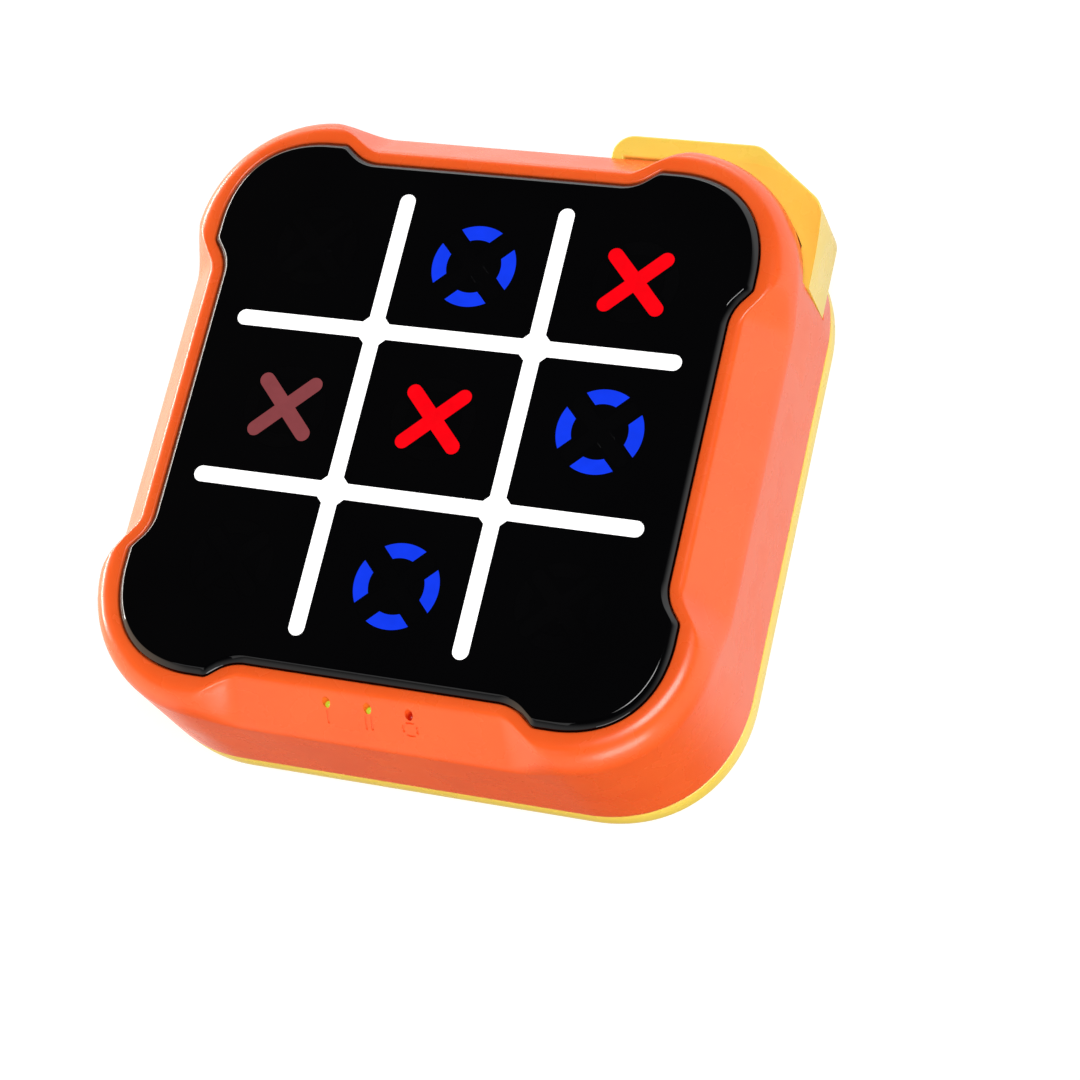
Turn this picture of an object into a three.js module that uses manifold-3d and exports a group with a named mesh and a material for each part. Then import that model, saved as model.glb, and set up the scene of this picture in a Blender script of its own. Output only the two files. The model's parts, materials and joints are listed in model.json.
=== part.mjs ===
// Handheld electronic tic tac toe game.
// Millimetres. +Z points out of the playing face, +X to its right, +Y to its top side.
// The origin lies in the middle of the back face, on the battery door.

import * as THREE from 'three';
import { mergeVertices } from 'three/addons/utils/BufferGeometryUtils.js';
import Module from 'manifold-3d';

const wasm = await Module();
wasm.setup();

// ---------------------------------------------------------------- driving dimensions

const HALF = 37.5;                 // half of the body's width and height at the wall's upper edge
const DRAFT = 0.5;                 // how much further out the wall stands at the seam
const CORNER_DRAFT = 0.3;          // and this much more on the diagonals, where the seam is squarer
const DEPTH = 24.6;                // back face to playing face
const CORNER_CENTRE = 21.8;        // centre of every corner arc, along x and along y
const CORNER_RADIUS = HALF - CORNER_CENTRE;
const SEAM = 4.2;                  // where the orange shell meets the yellow back cover
const SEAM_GAP = 0.3;
const WALL = 2.0;
const COVER_ROUND = 1.3;            // rounding of the back cover's lower edge
const COVER_RIM = 3.8;              // width of the back cover's rim, outside its hollow
const FENCE_HIGH = 1.6;             // how far that rim stands up inside the orange wall

const LIP_Z = DEPTH - 0.6;         // orange lip, just below the playing face
const LOBE_INSET = 3.9;            // outer wall to panel opening at the corner lobes
const LOBE_PINCH = 0.4;            // the lobe's band is this much narrower on the diagonal
const WAIST_DROP = 2.1;            // how much further in the opening lies along each waist
const WAIST_HALF = 15.25;          // straight half of a waist
const SCALLOP_HOLLOW = 5.2;        // radius at the waist end of a lobe's flank
const SCALLOP_CREST = 1.2;         // radius at the lobe end of its flank
const SCALLOP_SLOPE = THREE.MathUtils.degToRad(38);
const RIDGE_Z = LIP_Z - 5.45;      // ridge of the chamfer along each waist
const LOBE_ROUND = { across: 2.8, down: 4.0 };

const PANEL_GAP = 0.15;
const PANEL_THICK = 2.0;
const PANEL_BEVEL = { across: 0.8, down: 0.55 };
const LEDGE_Z = DEPTH - PANEL_THICK;
const WELL_HALF = 29.3;            // opening under the panel, inside the ledge
const WELL_RADIUS = 8;
const ROOF_Z = LEDGE_Z - 2.0;
const ROOF_INSET = 6.2;             // the cavity narrows to this under the roof

const PITCH = 19.86;               // one playing cell
const GRID = { reach: 27.45, width: 1.93, depth: 0.8, crotch: 0.7 };
const CROSS = { reach: 5.2, width: 1.8, depth: 0.8 };
const RING = { outer: 5.1, inner: 3.35, gap: 2.7, depth: 1.0, web: 0.5 };
const INLAY_GAP = 0.05;

const BOX_HALF = 28.8;             // light box and touch film
const BOX_CHAMFER = 7;
const BOX_WALL = 1.2;
const BOX_Z = [17.1, 21.5];
const FILM_Z = [21.7, 21.95];
const TAIL = { half: 4, near: 0.12, far: 0.34 };  // film tail, clear of the light box

const BOARD = { halfX: 34.4, halfY: 30.5, chamfer: 12, z: [15.6, 16.8], tabHalf: 9, tabY: 34.6 };
const CELL_LIGHT = { half: 2.5, high: 1.6 };
const STATUS_LIGHT = { halfX: 0.8, halfY: 0.5, high: 0.6 };
const CHIP = { half: 3.5, high: 0.9 };
const SUNK_IN = 0.2;               // soldered pieces reach this far into the board
const POST = { x: 31.8, y: 12, radius: 2.1, bore: 0.95 };
const STATUS = { spacing: 5, y: 34, bore: 0.55, rod: 0.45, sunk: 0.6 };

const BOSS = { at: 29.2, radius: 3.0, bore: 1.2, low: 6.1, tube: 2.9 };
const CASE_SCREW = { head: 2.1, headZ: [0.9, 2.5], shaft: 1.05, tip: 12.5 };
const BOARD_SCREW = { head: 1.8, headHigh: 1.3, shaft: 0.8, reach: 4.2 };

const CELL = { radius: 5.2, length: 44.5, nub: 1.0, nubRadius: 1.9, spacing: 10.8, z: 7.35 };
const BAY = { halfX: 16.4, halfY: 25.6, roof: 13.2, wall: 1.4 };
const PLATE_THICK = 2.0;
const BLOCK = { halfX: 21, low: 32.3, high: 29.9, thick: 3.6 };
const DOOR = { halfX: 18.7, halfY: 28.7, thick: 1.5, gap: 0.3 };
const GRIP = { count: 5, half: 7, from: 6, pitch: 2.2, width: 1.0, deep: 0.4 };
const TAB = { x: 10, half: 2.6, thick: 1.0, reach: 1.3, base: 0.9 };
const LUG = { y: 30.6, radius: 3.4 };
const INSERT = { radius: 2.1, bore: 1.3, z: [2.2, 6.6] };
const DOOR_SCREW = { head: 1.9, headZ: [0.3, 1.05], shaft: 0.95, tip: 5.6, way: 0.15 };

const SWITCH = { x: -27, y: 6, travel: 2, play: 0.4 };
const HOUSING = { x: 3.2, y: 6.5, z: [2.2, 6.4], roof: 1.2, side: 1.8 };
const KNOB = { x: 2.2, y: 2.6, z: [0.2, 1.0] };
const KNOB_RIB = { x: 1.8, half: 0.3, pitch: 1.3, deep: 0.25 };
const STEM = { x: 0.8, y: 1.3 };
const WIPER = { x: 1.1, y: 2.2, z: [2.6, 4.9] };
const SOUNDER = { x: 27, y: -6, radius: 6, z: [2.3, 6.3], foot: 0.6, hole: 0.6, ring: 3, holes: 6 };

const CONTACT = { thick: 0.4, z: [3, 12], half: 4.4, bump: 1.4, bumpOut: 1.0 };
const SPRING = { turns: 3, wide: 3.4, narrow: 2.2, reach: 4.3, wire: 0.28 };
const WIRE = { radius: 0.5, low: 10.2, startY: 24.2, holeY: 20.2, standOff: 4.6 };
const WIRE_HOLE = { y: [19, 21.5], z: [9, 11] };

const LOOP_Z = [8.0, 18.6];
const LOOP = { left: 11.2, proud: 2.9, right: 0.25, bendX: 29.0, bendY: 33.8, end: 23.8, thick: 1.9 };
const LOOP_FOOT = { wide: 1.6, deep: 3.6, corner: 2.5, soft: 3 };
const LOOP_BACKING = { x: 32.4, below: 3, toY: 31, margin: 2 };
const LOOP_GAP = 0.3;
// A cord goes in through the eye, down behind the bar and out at the back.
const CORD_SLOT = { x: [17, 23], y: [37, 39], z: [7, 14.5] };
const CORD_EYE = { x: [18.6, 21.4], y: [38, 42], z: [11.5, 14.5] };

const FACETS = 3;                  // half the number of segments in a rounded corner
const FINE = 6;                    // half the number of segments in a full circle of an O mark
const COARSE = 8;                  // sides of a small round piece; a larger one has twice as many

// ---------------------------------------------------------------- materials

function finish(color, roughness, metalness = 0) {
  return new THREE.MeshStandardMaterial({ color, roughness, metalness });
}

const ORANGE_ABS = () => finish('#f96a2a', 0.42);
const YELLOW_ABS = () => finish('#f8d250', 0.42);
const BLACK_GLOSS = () => finish('#050506', 0.06);
const WHITE_MARK = () => finish('#ffffff', 0.3);
const RED_LIT = () => finish('#ff0014', 0.25);
const RED_DIM = () => finish('#8a4246', 0.25);
const BLUE_LIT = () => finish('#103cf5', 0.25);
const SMOKED = () => finish('#08080a', 0.08);
const CLEAR_FILM = () => finish('#c9d2d6', 0.1);
const WHITE_ABS = () => finish('#f3f3f0', 0.5);
const BOARD_GREEN = () => finish('#1c6b3a', 0.5);
const STEEL = () => finish('#b9bcc0', 0.35, 1);
const BRASS = () => finish('#c9a24a', 0.35, 1);
const BLACK_NYLON = () => finish('#18181a', 0.55);
const CELL_WRAP = () => finish('#3f4a57', 0.35);
const RED_WIRE = () => finish('#c3201c', 0.5);
const BLACK_WIRE = () => finish('#141414', 0.5);
const LIGHT_GREEN = () => finish('#c8c832', 0.3);
const LIGHT_RED = () => finish('#d52200', 0.3);

// ---------------------------------------------------------------- solids

// Turn a closed three.js geometry into a solid that can be joined and cut.
function solid(geometry) {
  const bare = geometry.clone();
  bare.deleteAttribute('normal');
  bare.deleteAttribute('uv');
  const merged = mergeVertices(bare, 1e-4);
  const mesh = new wasm.Mesh({
    numProp: 3,
    vertProperties: new Float32Array(merged.attributes.position.array),
    triVerts: new Uint32Array(merged.index.array),
  });
  return new wasm.Manifold(mesh);
}

// Turn a solid back into a geometry.
function surface(body) {
  const mesh = body.getMesh();
  const geometry = new THREE.BufferGeometry();
  geometry.setAttribute('position', new THREE.BufferAttribute(mesh.vertProperties, 3));
  geometry.setIndex(new THREE.BufferAttribute(mesh.triVerts, 1));
  geometry.computeVertexNormals();
  return geometry;
}

const join = (first, ...rest) => rest.reduce((body, other) => body.add(other), first);
const cut = (first, ...rest) => rest.reduce((body, other) => body.subtract(other), first);

// Outline extruded from one height to another.
function prism(shape, [low, high], segments = FACETS) {
  const geometry = new THREE.ExtrudeGeometry(shape, {
    depth: high - low,
    bevelEnabled: false,
    curveSegments: segments,
  });
  geometry.translate(0, 0, low);
  return solid(geometry);
}

function box([x0, x1], [y0, y1], [z0, z1]) {
  const geometry = new THREE.BoxGeometry(x1 - x0, y1 - y0, z1 - z0);
  geometry.translate((x0 + x1) / 2, (y0 + y1) / 2, (z0 + z1) / 2);
  return solid(geometry);
}

function column(radius, [low, high], x = 0, y = 0, sides = 2 * COARSE) {
  const geometry = new THREE.CylinderGeometry(radius, radius, high - low, sides);
  geometry.rotateX(Math.PI / 2);
  geometry.translate(x, y, (low + high) / 2);
  return solid(geometry);
}

// Closed outline through corner points [x, y, radius], each corner rounded by its radius.
function outline(corners) {
  const shape = new THREE.Shape();
  corners.forEach(([x, y, radius], i) => {
    const here = new THREE.Vector2(x, y);
    const before = new THREE.Vector2(...corners.at(i - 1).slice(0, 2)).sub(here).normalize();
    const after = new THREE.Vector2(...corners[(i + 1) % corners.length].slice(0, 2)).sub(here).normalize();
    if (!radius) {
      i ? shape.lineTo(x, y) : shape.moveTo(x, y);
      return;
    }
    const half = Math.acos(THREE.MathUtils.clamp(before.dot(after), -1, 1)) / 2;
    const start = here.clone().addScaledVector(before, radius / Math.tan(half));
    const end = here.clone().addScaledVector(after, radius / Math.tan(half));
    const toCentre = before.clone().add(after).normalize();
    const centre = here.clone().addScaledVector(toCentre, radius / Math.sin(half));
    const from = start.clone().sub(centre).angle();
    const to = end.clone().sub(centre).angle();
    const clockwise = before.cross(after) > 0;
    i ? shape.lineTo(start.x, start.y) : shape.moveTo(start.x, start.y);
    shape.absarc(centre.x, centre.y, radius, from, to, clockwise);
  });
  shape.closePath();
  return shape;
}

function rectangle([x0, x1], [y0, y1], radius = 0) {
  return outline([[x0, y0, radius], [x1, y0, radius], [x1, y1, radius], [x0, y1, radius]]);
}

// Square with its four corners cut off at 45 degrees.
function chamfered(halfX, halfY, cutOff) {
  const signs = [[1, -1], [1, 1], [-1, 1], [-1, -1]];
  const corners = signs.flatMap(([sx, sy]) => {
    const onSide = [sx * halfX, sy * (halfY - cutOff), 0];
    const onEnd = [sx * (halfX - cutOff), sy * halfY, 0];
    return sx * sy > 0 ? [onSide, onEnd] : [onEnd, onSide];
  });
  return outline(corners);
}

// Closed solid through rings of equal length, each ring a list of [x, y, z], from low to high.
function stack(rings) {
  const count = rings[0].length;
  const points = rings.flat(2);
  const index = [];
  for (let r = 0; r + 1 < rings.length; r += 1) {
    for (let i = 0; i < count; i += 1) {
      const a = r * count + i;
      const b = r * count + ((i + 1) % count);
      index.push(a, b, b + count, a, b + count, a + count);
    }
  }
  const cap = (ring) => THREE.ShapeUtils.triangulateShape(ring.map(([x, y]) => new THREE.Vector2(x, y)), []);
  cap(rings[0]).forEach(([a, b, c]) => index.push(c, b, a));
  const top = (rings.length - 1) * count;
  cap(rings.at(-1)).forEach(([a, b, c]) => index.push(a + top, b + top, c + top));
  const geometry = new THREE.BufferGeometry();
  geometry.setAttribute('position', new THREE.Float32BufferAttribute(points, 3));
  geometry.setIndex(index);
  return solid(geometry);
}

// ---------------------------------------------------------------- the body's outline

// Rise of the panel opening from waist to lobe, at a distance from the middle of a side:
// a hollow arc, a straight flank and a crest arc.
const HOLLOW_RUN = SCALLOP_HOLLOW * Math.sin(SCALLOP_SLOPE);
const HOLLOW_RISE = SCALLOP_HOLLOW * (1 - Math.cos(SCALLOP_SLOPE));
const CREST_RUN = SCALLOP_CREST * Math.sin(SCALLOP_SLOPE);
const CREST_RISE = SCALLOP_CREST * (1 - Math.cos(SCALLOP_SLOPE));
const FLANK_RUN = (WAIST_DROP - HOLLOW_RISE - CREST_RISE) / Math.tan(SCALLOP_SLOPE);
const LOBE_START = WAIST_HALF + HOLLOW_RUN + FLANK_RUN + CREST_RUN;

function scallop(along) {
  const run = along - WAIST_HALF;
  const left = LOBE_START - along;
  if (run <= 0) return 0;
  if (left <= 0) return WAIST_DROP;
  if (run < HOLLOW_RUN) return SCALLOP_HOLLOW - Math.sqrt(SCALLOP_HOLLOW ** 2 - run ** 2);
  if (left < CREST_RUN) return WAIST_DROP - SCALLOP_CREST + Math.sqrt(SCALLOP_CREST ** 2 - left ** 2);
  return HOLLOW_RISE + (run - HOLLOW_RUN) * Math.tan(SCALLOP_SLOPE);
}

// Stations around the body: a point on the outer wall, its outward normal, and how far along
// the wall it lies from the middle of the nearest side.
function stations() {
  const flank = [];
  for (let i = 0; i <= 3; i += 1) {
    flank.push(WAIST_HALF + SCALLOP_HOLLOW * Math.sin((SCALLOP_SLOPE * i) / 3));
  }
  for (let i = 2; i >= 0; i -= 1) {
    flank.push(LOBE_START - SCALLOP_CREST * Math.sin((SCALLOP_SLOPE * i) / 2));
  }
  const side = [...flank.toReversed().map((t) => -t), ...flank];
  const around = [];
  for (let quarter = 0; quarter < 4; quarter += 1) {
    const turn = (quarter * Math.PI) / 2;
    const place = (x, y, nx, ny, along) => {
      const c = Math.round(Math.cos(turn));
      const s = Math.round(Math.sin(turn));
      around.push({ x: c * x - s * y, y: s * x + c * y, nx: c * nx - s * ny, ny: s * nx + c * ny, along });
    };
    side.forEach((t) => place(HALF, t, 1, 0, Math.abs(t)));
    const steps = 2 * FACETS;
    for (let i = 0; i <= steps; i += 1) {
      const a = (Math.PI / 2) * (i / steps);
      const x = CORNER_CENTRE + CORNER_RADIUS * Math.cos(a);
      const y = CORNER_CENTRE + CORNER_RADIUS * Math.sin(a);
      const along = CORNER_CENTRE + CORNER_RADIUS * Math.min(a, Math.PI / 2 - a);
      place(x, y, Math.cos(a), Math.sin(a), along);
    }
  }
  return around;
}

const AROUND = stations();

// Ring at an inset from the outer wall and a height, both of which may change with the station.
function ring(inset, height) {
  return AROUND.map((s) => {
    const e = typeof inset === 'function' ? inset(s.along) : inset;
    const z = typeof height === 'function' ? height(s.along) : height;
    return [s.x - s.nx * e, s.y - s.ny * e, z];
  });
}

// 0 along the straight sides, rising to 1 on the corner's diagonal.
function diagonal(along) {
  return along > CORNER_CENTRE ? Math.sin((2 * (along - CORNER_CENTRE)) / CORNER_RADIUS) ** 2 : 0;
}

const openingInset = (extra) => (along) => {
  return LOBE_INSET + WAIST_DROP - scallop(along) - LOBE_PINCH * diagonal(along) + extra;
};
const seamInset = (extra) => (along) => extra - DRAFT - CORNER_DRAFT * diagonal(along);

// Plain rounded square ring.
function squareRing(half, radius, z) {
  const at = half - radius;
  const steps = 2 * FACETS;
  return fourPlaces(at, at).flatMap(([x, y], quarter) => Array.from({ length: steps + 1 }, (_, i) => {
    const a = (Math.PI / 2) * (quarter + i / steps);
    return [x + radius * Math.cos(a), y + radius * Math.sin(a), z];
  }));
}

// ---------------------------------------------------------------- top case

// Section of the bezel above the wall, as [inset, height], from the wall to the panel opening.
function lobeSection() {
  const points = [];
  for (let i = 0; i <= 4; i += 1) {
    const a = (Math.PI / 2) * (i / 4);
    points.push([
      LOBE_ROUND.across * (1 - Math.cos(a)),
      LIP_Z - LOBE_ROUND.down * (1 - Math.sin(a)),
    ]);
  }
  return points;
}

function waistSection() {
  const chamferTop = [LOBE_INSET + 0.3, LIP_Z - 0.45];
  return [
    [0, RIDGE_Z - 0.9],
    [0.12, RIDGE_Z - 0.3],
    [0.5, RIDGE_Z + 0.3],
    chamferTop,
    [chamferTop[0] + 0.8, LIP_Z],
  ];
}

function bezelRings() {
  const lobe = lobeSection();
  const waist = waistSection();
  return lobe.map((onLobe, level) => {
    const outward = 1 - level / (lobe.length - 1);
    const from = WAIST_HALF + 1.5 * outward;
    const to = LOBE_START + 4.5 * outward;
    const share = (along) => THREE.MathUtils.smoothstep(along, from, to);
    const mix = (axis) => (along) => THREE.MathUtils.lerp(waist[level][axis], onLobe[axis], share(along));
    return ring(mix(0), mix(1));
  });
}

function topCase() {
  const edge = 0.25;
  const body = stack([
    ring(seamInset(0), SEAM),
    ...bezelRings(),
    ring(openingInset(-edge), LIP_Z),
    ring(openingInset(0), LIP_Z - edge),
    ring(openingInset(0), LEDGE_Z),
  ]);
  const cavity = stack([
    squareRing(HALF - WALL, CORNER_RADIUS - WALL, SEAM - 1),
    squareRing(HALF - WALL, CORNER_RADIUS - WALL, RIDGE_Z - WALL),
    squareRing(HALF - ROOF_INSET, CORNER_RADIUS - ROOF_INSET, ROOF_Z),
  ]);
  const well = stack([
    squareRing(WELL_HALF, WELL_RADIUS, ROOF_Z - 0.1),
    squareRing(WELL_HALF, WELL_RADIUS, LEDGE_Z + 1),
  ]);
  const shell = cut(body, cavity, well);
  const bosses = corners(BOSS.at).map(([x, y]) => column(BOSS.radius, [BOSS.low, ROOF_Z - 1], x, y));
  const posts = fourPlaces(POST.x, POST.y).map(([x, y]) => column(POST.radius, [BOARD.z[1], ROOF_Z], x, y));
  const pilotZ = [BOSS.low - 1, CASE_SCREW.tip + 1];
  const pilots = corners(BOSS.at).map(([x, y]) => column(BOSS.bore, pilotZ, x, y));
  const boardTop = BOARD.z[1];
  const postPilots = fourPlaces(POST.x, POST.y)
    .map(([x, y]) => column(POST.bore, [boardTop - 1, boardTop + BOARD_SCREW.reach - 0.8], x, y, COARSE));
  const pinholes = STATUS_X.map((x) => column(STATUS.bore, [SEAM, DEPTH], x, -STATUS.y, COARSE));
  const low = LOOP_Z[0] - LOOP_BACKING.margin;
  const backing = box(
    [LOOP_BACKING.x, HALF - 1],
    [LOOP.end - LOOP_BACKING.below, LOOP_BACKING.toY],
    [low, RIDGE_Z],
  );
  const whole = join(shell, ...bosses, ...posts, backing);
  return cut(whole, ...pilots, ...postPilots, ...pinholes, loopSeat());
}

function corners(at) {
  return fourPlaces(at, at);
}

function fourPlaces(x, y) {
  return [[x, y], [-x, y], [-x, -y], [x, -y]];
}

const STATUS_X = [-STATUS.spacing, 0, STATUS.spacing];

// ---------------------------------------------------------------- strap loop

// Plan of the loop: a foot through the top wall, the run along the top, the cut corner, which
// fills out to the wall's arc, and the leg that lies flush in the right wall, with a foot of its
// own. grow widens it for its seat.
function loopPlan(grow = 0) {
  const { left, bendX, bendY, end, thick } = LOOP;
  const { wide, corner, soft } = LOOP_FOOT;
  const top = HALF + LOOP.proud;
  const right = HALF + LOOP.right;
  const deep = HALF - LOOP_FOOT.deep - grow;
  const radius = CORNER_RADIUS + LOOP_GAP - grow;
  const innerRight = right - thick - grow;
  const steps = 2 * FACETS;
  const wallArc = Array.from({ length: steps - 1 }, (_, i) => {
    const a = (Math.PI / 2) * (1 - i / steps);
    return [CORNER_CENTRE + radius * Math.cos(a), CORNER_CENTRE + radius * Math.sin(a), 0];
  });
  const atRight = CORNER_CENTRE + Math.sqrt(radius ** 2 - (innerRight - CORNER_CENTRE) ** 2);
  return outline([
    [left - grow, deep, 0],
    [left + wide + grow, deep, 0],
    [left + wide + grow, CORNER_CENTRE + radius, 0],
    ...wallArc,
    [innerRight, atRight, 0],
    [innerRight, end + wide + grow, 0],
    [deep, end + wide + grow, 0],
    [deep, end - grow, 0],
    [right + grow, end - grow, 0],
    [right + grow, bendY, soft],
    [bendX, top, soft],
    [left - grow, top, corner],
  ]);
}

function strapLoop() {
  const slot = box(CORD_SLOT.x, CORD_SLOT.y, CORD_SLOT.z);
  const eye = box(CORD_EYE.x, CORD_EYE.y, CORD_EYE.z);
  return cut(prism(loopPlan(), LOOP_Z), slot, eye);
}

function loopSeat() {
  const seatZ = [LOOP_Z[0] - LOOP_GAP, LOOP_Z[1] + LOOP_GAP];
  return prism(loopPlan(LOOP_GAP), seatZ);
}

// ---------------------------------------------------------------- panel and marks

// Bar with round ends, centred on the origin, turned by an angle.
function bar(reach, width, zs, angle = 0, x = 0, y = 0) {
  const radius = width / 2;
  const shape = new THREE.Shape();
  shape.absarc(reach - radius, 0, radius, -Math.PI / 2, Math.PI / 2, false);
  shape.absarc(radius - reach, 0, radius, Math.PI / 2, (3 * Math.PI) / 2, false);
  shape.closePath();
  const geometry = new THREE.ExtrudeGeometry(shape, {
    depth: zs[1] - zs[0],
    bevelEnabled: false,
    curveSegments: 2,
  });
  geometry.rotateZ(angle);
  geometry.translate(x, y, zs[0]);
  return solid(geometry);
}

// Two by two lines with a small 45 degree crotch at each crossing.
function gridSolid(grow, zs) {
  const at = PITCH / 2;
  const bars = [-at, at].flatMap((p) => [
    bar(GRID.reach + grow, GRID.width + 2 * grow, zs, 0, 0, p),
    bar(GRID.reach + grow, GRID.width + 2 * grow, zs, Math.PI / 2, p, 0),
  ]);
  const side = (GRID.width + GRID.crotch + 2 * grow) * Math.SQRT2;
  const crotches = fourPlaces(at, at).map(([x, y]) => {
    const geometry = new THREE.BoxGeometry(side, side, zs[1] - zs[0]);
    geometry.rotateZ(Math.PI / 4);
    geometry.translate(x, y, (zs[0] + zs[1]) / 2);
    return solid(geometry);
  });
  return join(...bars, ...crotches);
}

function crossSolid(grow, zs, x, y) {
  const arms = [1, -1].map((way) => {
    return bar(CROSS.reach + grow, CROSS.width + 2 * grow, zs, (way * Math.PI) / 4, x, y);
  });
  return join(...arms);
}

function annulus(outer, inner, zs, x, y) {
  const shape = new THREE.Shape();
  shape.absarc(x, y, outer, 0, 2 * Math.PI, false);
  const hole = new THREE.Path();
  hole.absarc(x, y, inner, 0, 2 * Math.PI, true);
  shape.holes.push(hole);
  return prism(shape, zs, FINE);
}

// Four arcs with gaps on the diagonals, carried on a thin ring that runs on underneath.
function ringSolid(grow, high, x, y) {
  const arcsZ = [DEPTH - RING.depth - grow, high];
  const webZ = [arcsZ[0] - RING.web, arcsZ[0] + grow];
  const arcs = annulus(RING.outer + grow, RING.inner - grow, arcsZ, x, y);
  const gaps = [1, -1].map((way) => {
    const reach = 2 * RING.outer + 4;
    const geometry = new THREE.BoxGeometry(reach, RING.gap - 2 * grow, 4);
    geometry.rotateZ((way * Math.PI) / 4);
    geometry.translate(x, y, high);
    return solid(geometry);
  });
  const web = annulus(RING.outer + grow, RING.inner - grow, webZ, x, y);
  return join(cut(arcs, ...gaps), web);
}

// A cell's marks are lit by a lamp set by hand, so some sit a little off their cell's middle.
const MARK_SHIFT = {
  top_centre: [0.2, -0.7],
  top_right: [0.1, -0.7],
  middle_left: [1.4, -0.6],
  middle_right: [0, 0.8],
  bottom_centre: [0.6, -0.3],
};

const ROW_NAME = { 1: 'top', 0: 'middle', '-1': 'bottom' };
const COL_NAME = { '-1': 'left', 0: 'centre', 1: 'right' };
const CELLS = [1, 0, -1].flatMap((row) => [-1, 0, 1].map((col) => {
  const name = `${ROW_NAME[row]}_${COL_NAME[col]}`;
  const [dx, dy] = MARK_SHIFT[name] ?? [0, 0];
  return { name, row, col, markX: col * PITCH + dx, markY: row * PITCH + dy };
}));

const CROSS_LOOK = { top_right: RED_LIT, middle_centre: RED_LIT, middle_left: RED_DIM };
const RING_LOOK = { top_centre: BLUE_LIT, middle_right: BLUE_LIT, bottom_centre: BLUE_LIT };

function frontPanel() {
  const slab = stack([
    ring(openingInset(PANEL_GAP), LEDGE_Z),
    ring(openingInset(PANEL_GAP), DEPTH - PANEL_BEVEL.down),
    ring(openingInset(PANEL_GAP + PANEL_BEVEL.across), DEPTH),
  ]);
  const past = DEPTH + 1;
  const marks = CELLS.flatMap(({ markX, markY }) => [
    crossSolid(INLAY_GAP, [DEPTH - CROSS.depth - INLAY_GAP, past], markX, markY),
    ringSolid(INLAY_GAP, past, markX, markY),
  ]);
  return cut(slab, gridSolid(INLAY_GAP, [DEPTH - GRID.depth - INLAY_GAP, past]), ...marks);
}

// ---------------------------------------------------------------- light box, film and board

function lightBox() {
  const inner = BOX_HALF - BOX_WALL;
  const limit = 2 * BOX_HALF - BOX_CHAMFER - BOX_WALL * Math.SQRT2;
  const wells = CELLS.map(({ row, col }) => {
    const span = (step) => [
      Math.max(step * PITCH - PITCH / 2 + BOX_WALL / 2, -inner),
      Math.min(step * PITCH + PITCH / 2 - BOX_WALL / 2, inner),
    ];
    const [x0, x1] = span(col);
    const [y0, y1] = span(row);
    const points = [[x0, y0], [x1, y0], [x1, y1], [x0, y1]].flatMap(([x, y]) => {
      if (Math.abs(x) + Math.abs(y) <= limit) return [[x, y]];
      const onSide = [x, Math.sign(y) * (limit - Math.abs(x))];
      const onEnd = [Math.sign(x) * (limit - Math.abs(y)), y];
      return x * y > 0 ? [onSide, onEnd] : [onEnd, onSide];
    });
    return prism(outline(points.map(([x, y]) => [x, y, 0])), [BOX_Z[0] - 1, BOX_Z[1] + 1]);
  });
  return cut(prism(chamfered(BOX_HALF, BOX_HALF, BOX_CHAMFER), BOX_Z), ...wells);
}

// Film with a tail that folds down beside the light box to the board.
function touchFilm() {
  const sheet = prism(chamfered(BOX_HALF, BOX_HALF, BOX_CHAMFER), FILM_Z);
  const { half, near, far } = TAIL;
  const tail = box([-half, half], [BOX_HALF + near, BOX_HALF + far], [BOARD.z[1] + 0.2, FILM_Z[1]]);
  const fold = box([-half, half], [BOX_HALF - 1, BOX_HALF + far], FILM_Z);
  return join(sheet, tail, fold);
}

function mainBoard() {
  const low = -BOARD.tabY;
  const plate = prism(chamfered(BOARD.halfX, BOARD.halfY, BOARD.chamfer), BOARD.z);
  const tab = box([-BOARD.tabHalf, BOARD.tabHalf], [low, -BOARD.halfY + 1], BOARD.z);
  const top = BOARD.z[1];
  const cellLights = CELLS.map(({ row, col }) => {
    const x = col * PITCH;
    const y = row * PITCH;
    const { half, high } = CELL_LIGHT;
    return box([x - half, x + half], [y - half, y + half], [top - SUNK_IN, top + high]);
  });
  const statusLights = STATUS_X.map((x) => {
    const { halfX, halfY, high } = STATUS_LIGHT;
    return box([x - halfX, x + halfX], [-STATUS.y - halfY, -STATUS.y + halfY], [top - SUNK_IN, top + high]);
  });
  const under = BOARD.z[0];
  const chip = box([-CHIP.half, CHIP.half], [-CHIP.half, CHIP.half], [under - CHIP.high, under + SUNK_IN]);
  const holes = fourPlaces(POST.x, POST.y)
    .map(([x, y]) => column(BOARD_SCREW.shaft + 0.25, [under - 1, top + 1], x, y, COARSE));
  return cut(join(plate, tab, ...cellLights, ...statusLights, chip), ...holes);
}

// Light pipe with a domed tip that ends just inside its pinhole.
function statusLens(x) {
  const surfaceZ = chamferHeight(HALF - STATUS.y);
  const low = BOARD.z[1] + 0.8;
  const high = surfaceZ - STATUS.sunk;
  const dome = 0.3;
  const shoulder = high - dome * (1 - Math.SQRT1_2);
  const profile = [
    [0, low], [STATUS.rod, low], [STATUS.rod, high - dome], [STATUS.rod * Math.SQRT1_2, shoulder], [0, high],
  ];
  return turned(profile, x, -STATUS.y);
}

// Height of the waist chamfer at an inset from the wall.
function chamferHeight(inset) {
  const [, , foot, head] = waistSection();
  return THREE.MathUtils.mapLinear(inset, foot[0], head[0], foot[1], head[1]);
}

// Piece turned about a vertical axis from a profile of [radius, height].
function turned(profile, x, y, sides = COARSE) {
  const geometry = new THREE.LatheGeometry(profile.map(([r, z]) => new THREE.Vector2(r, z)), sides);
  geometry.rotateX(Math.PI / 2);
  geometry.translate(x, y, 0);
  return solid(geometry);
}

// ---------------------------------------------------------------- back cover and door

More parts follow.
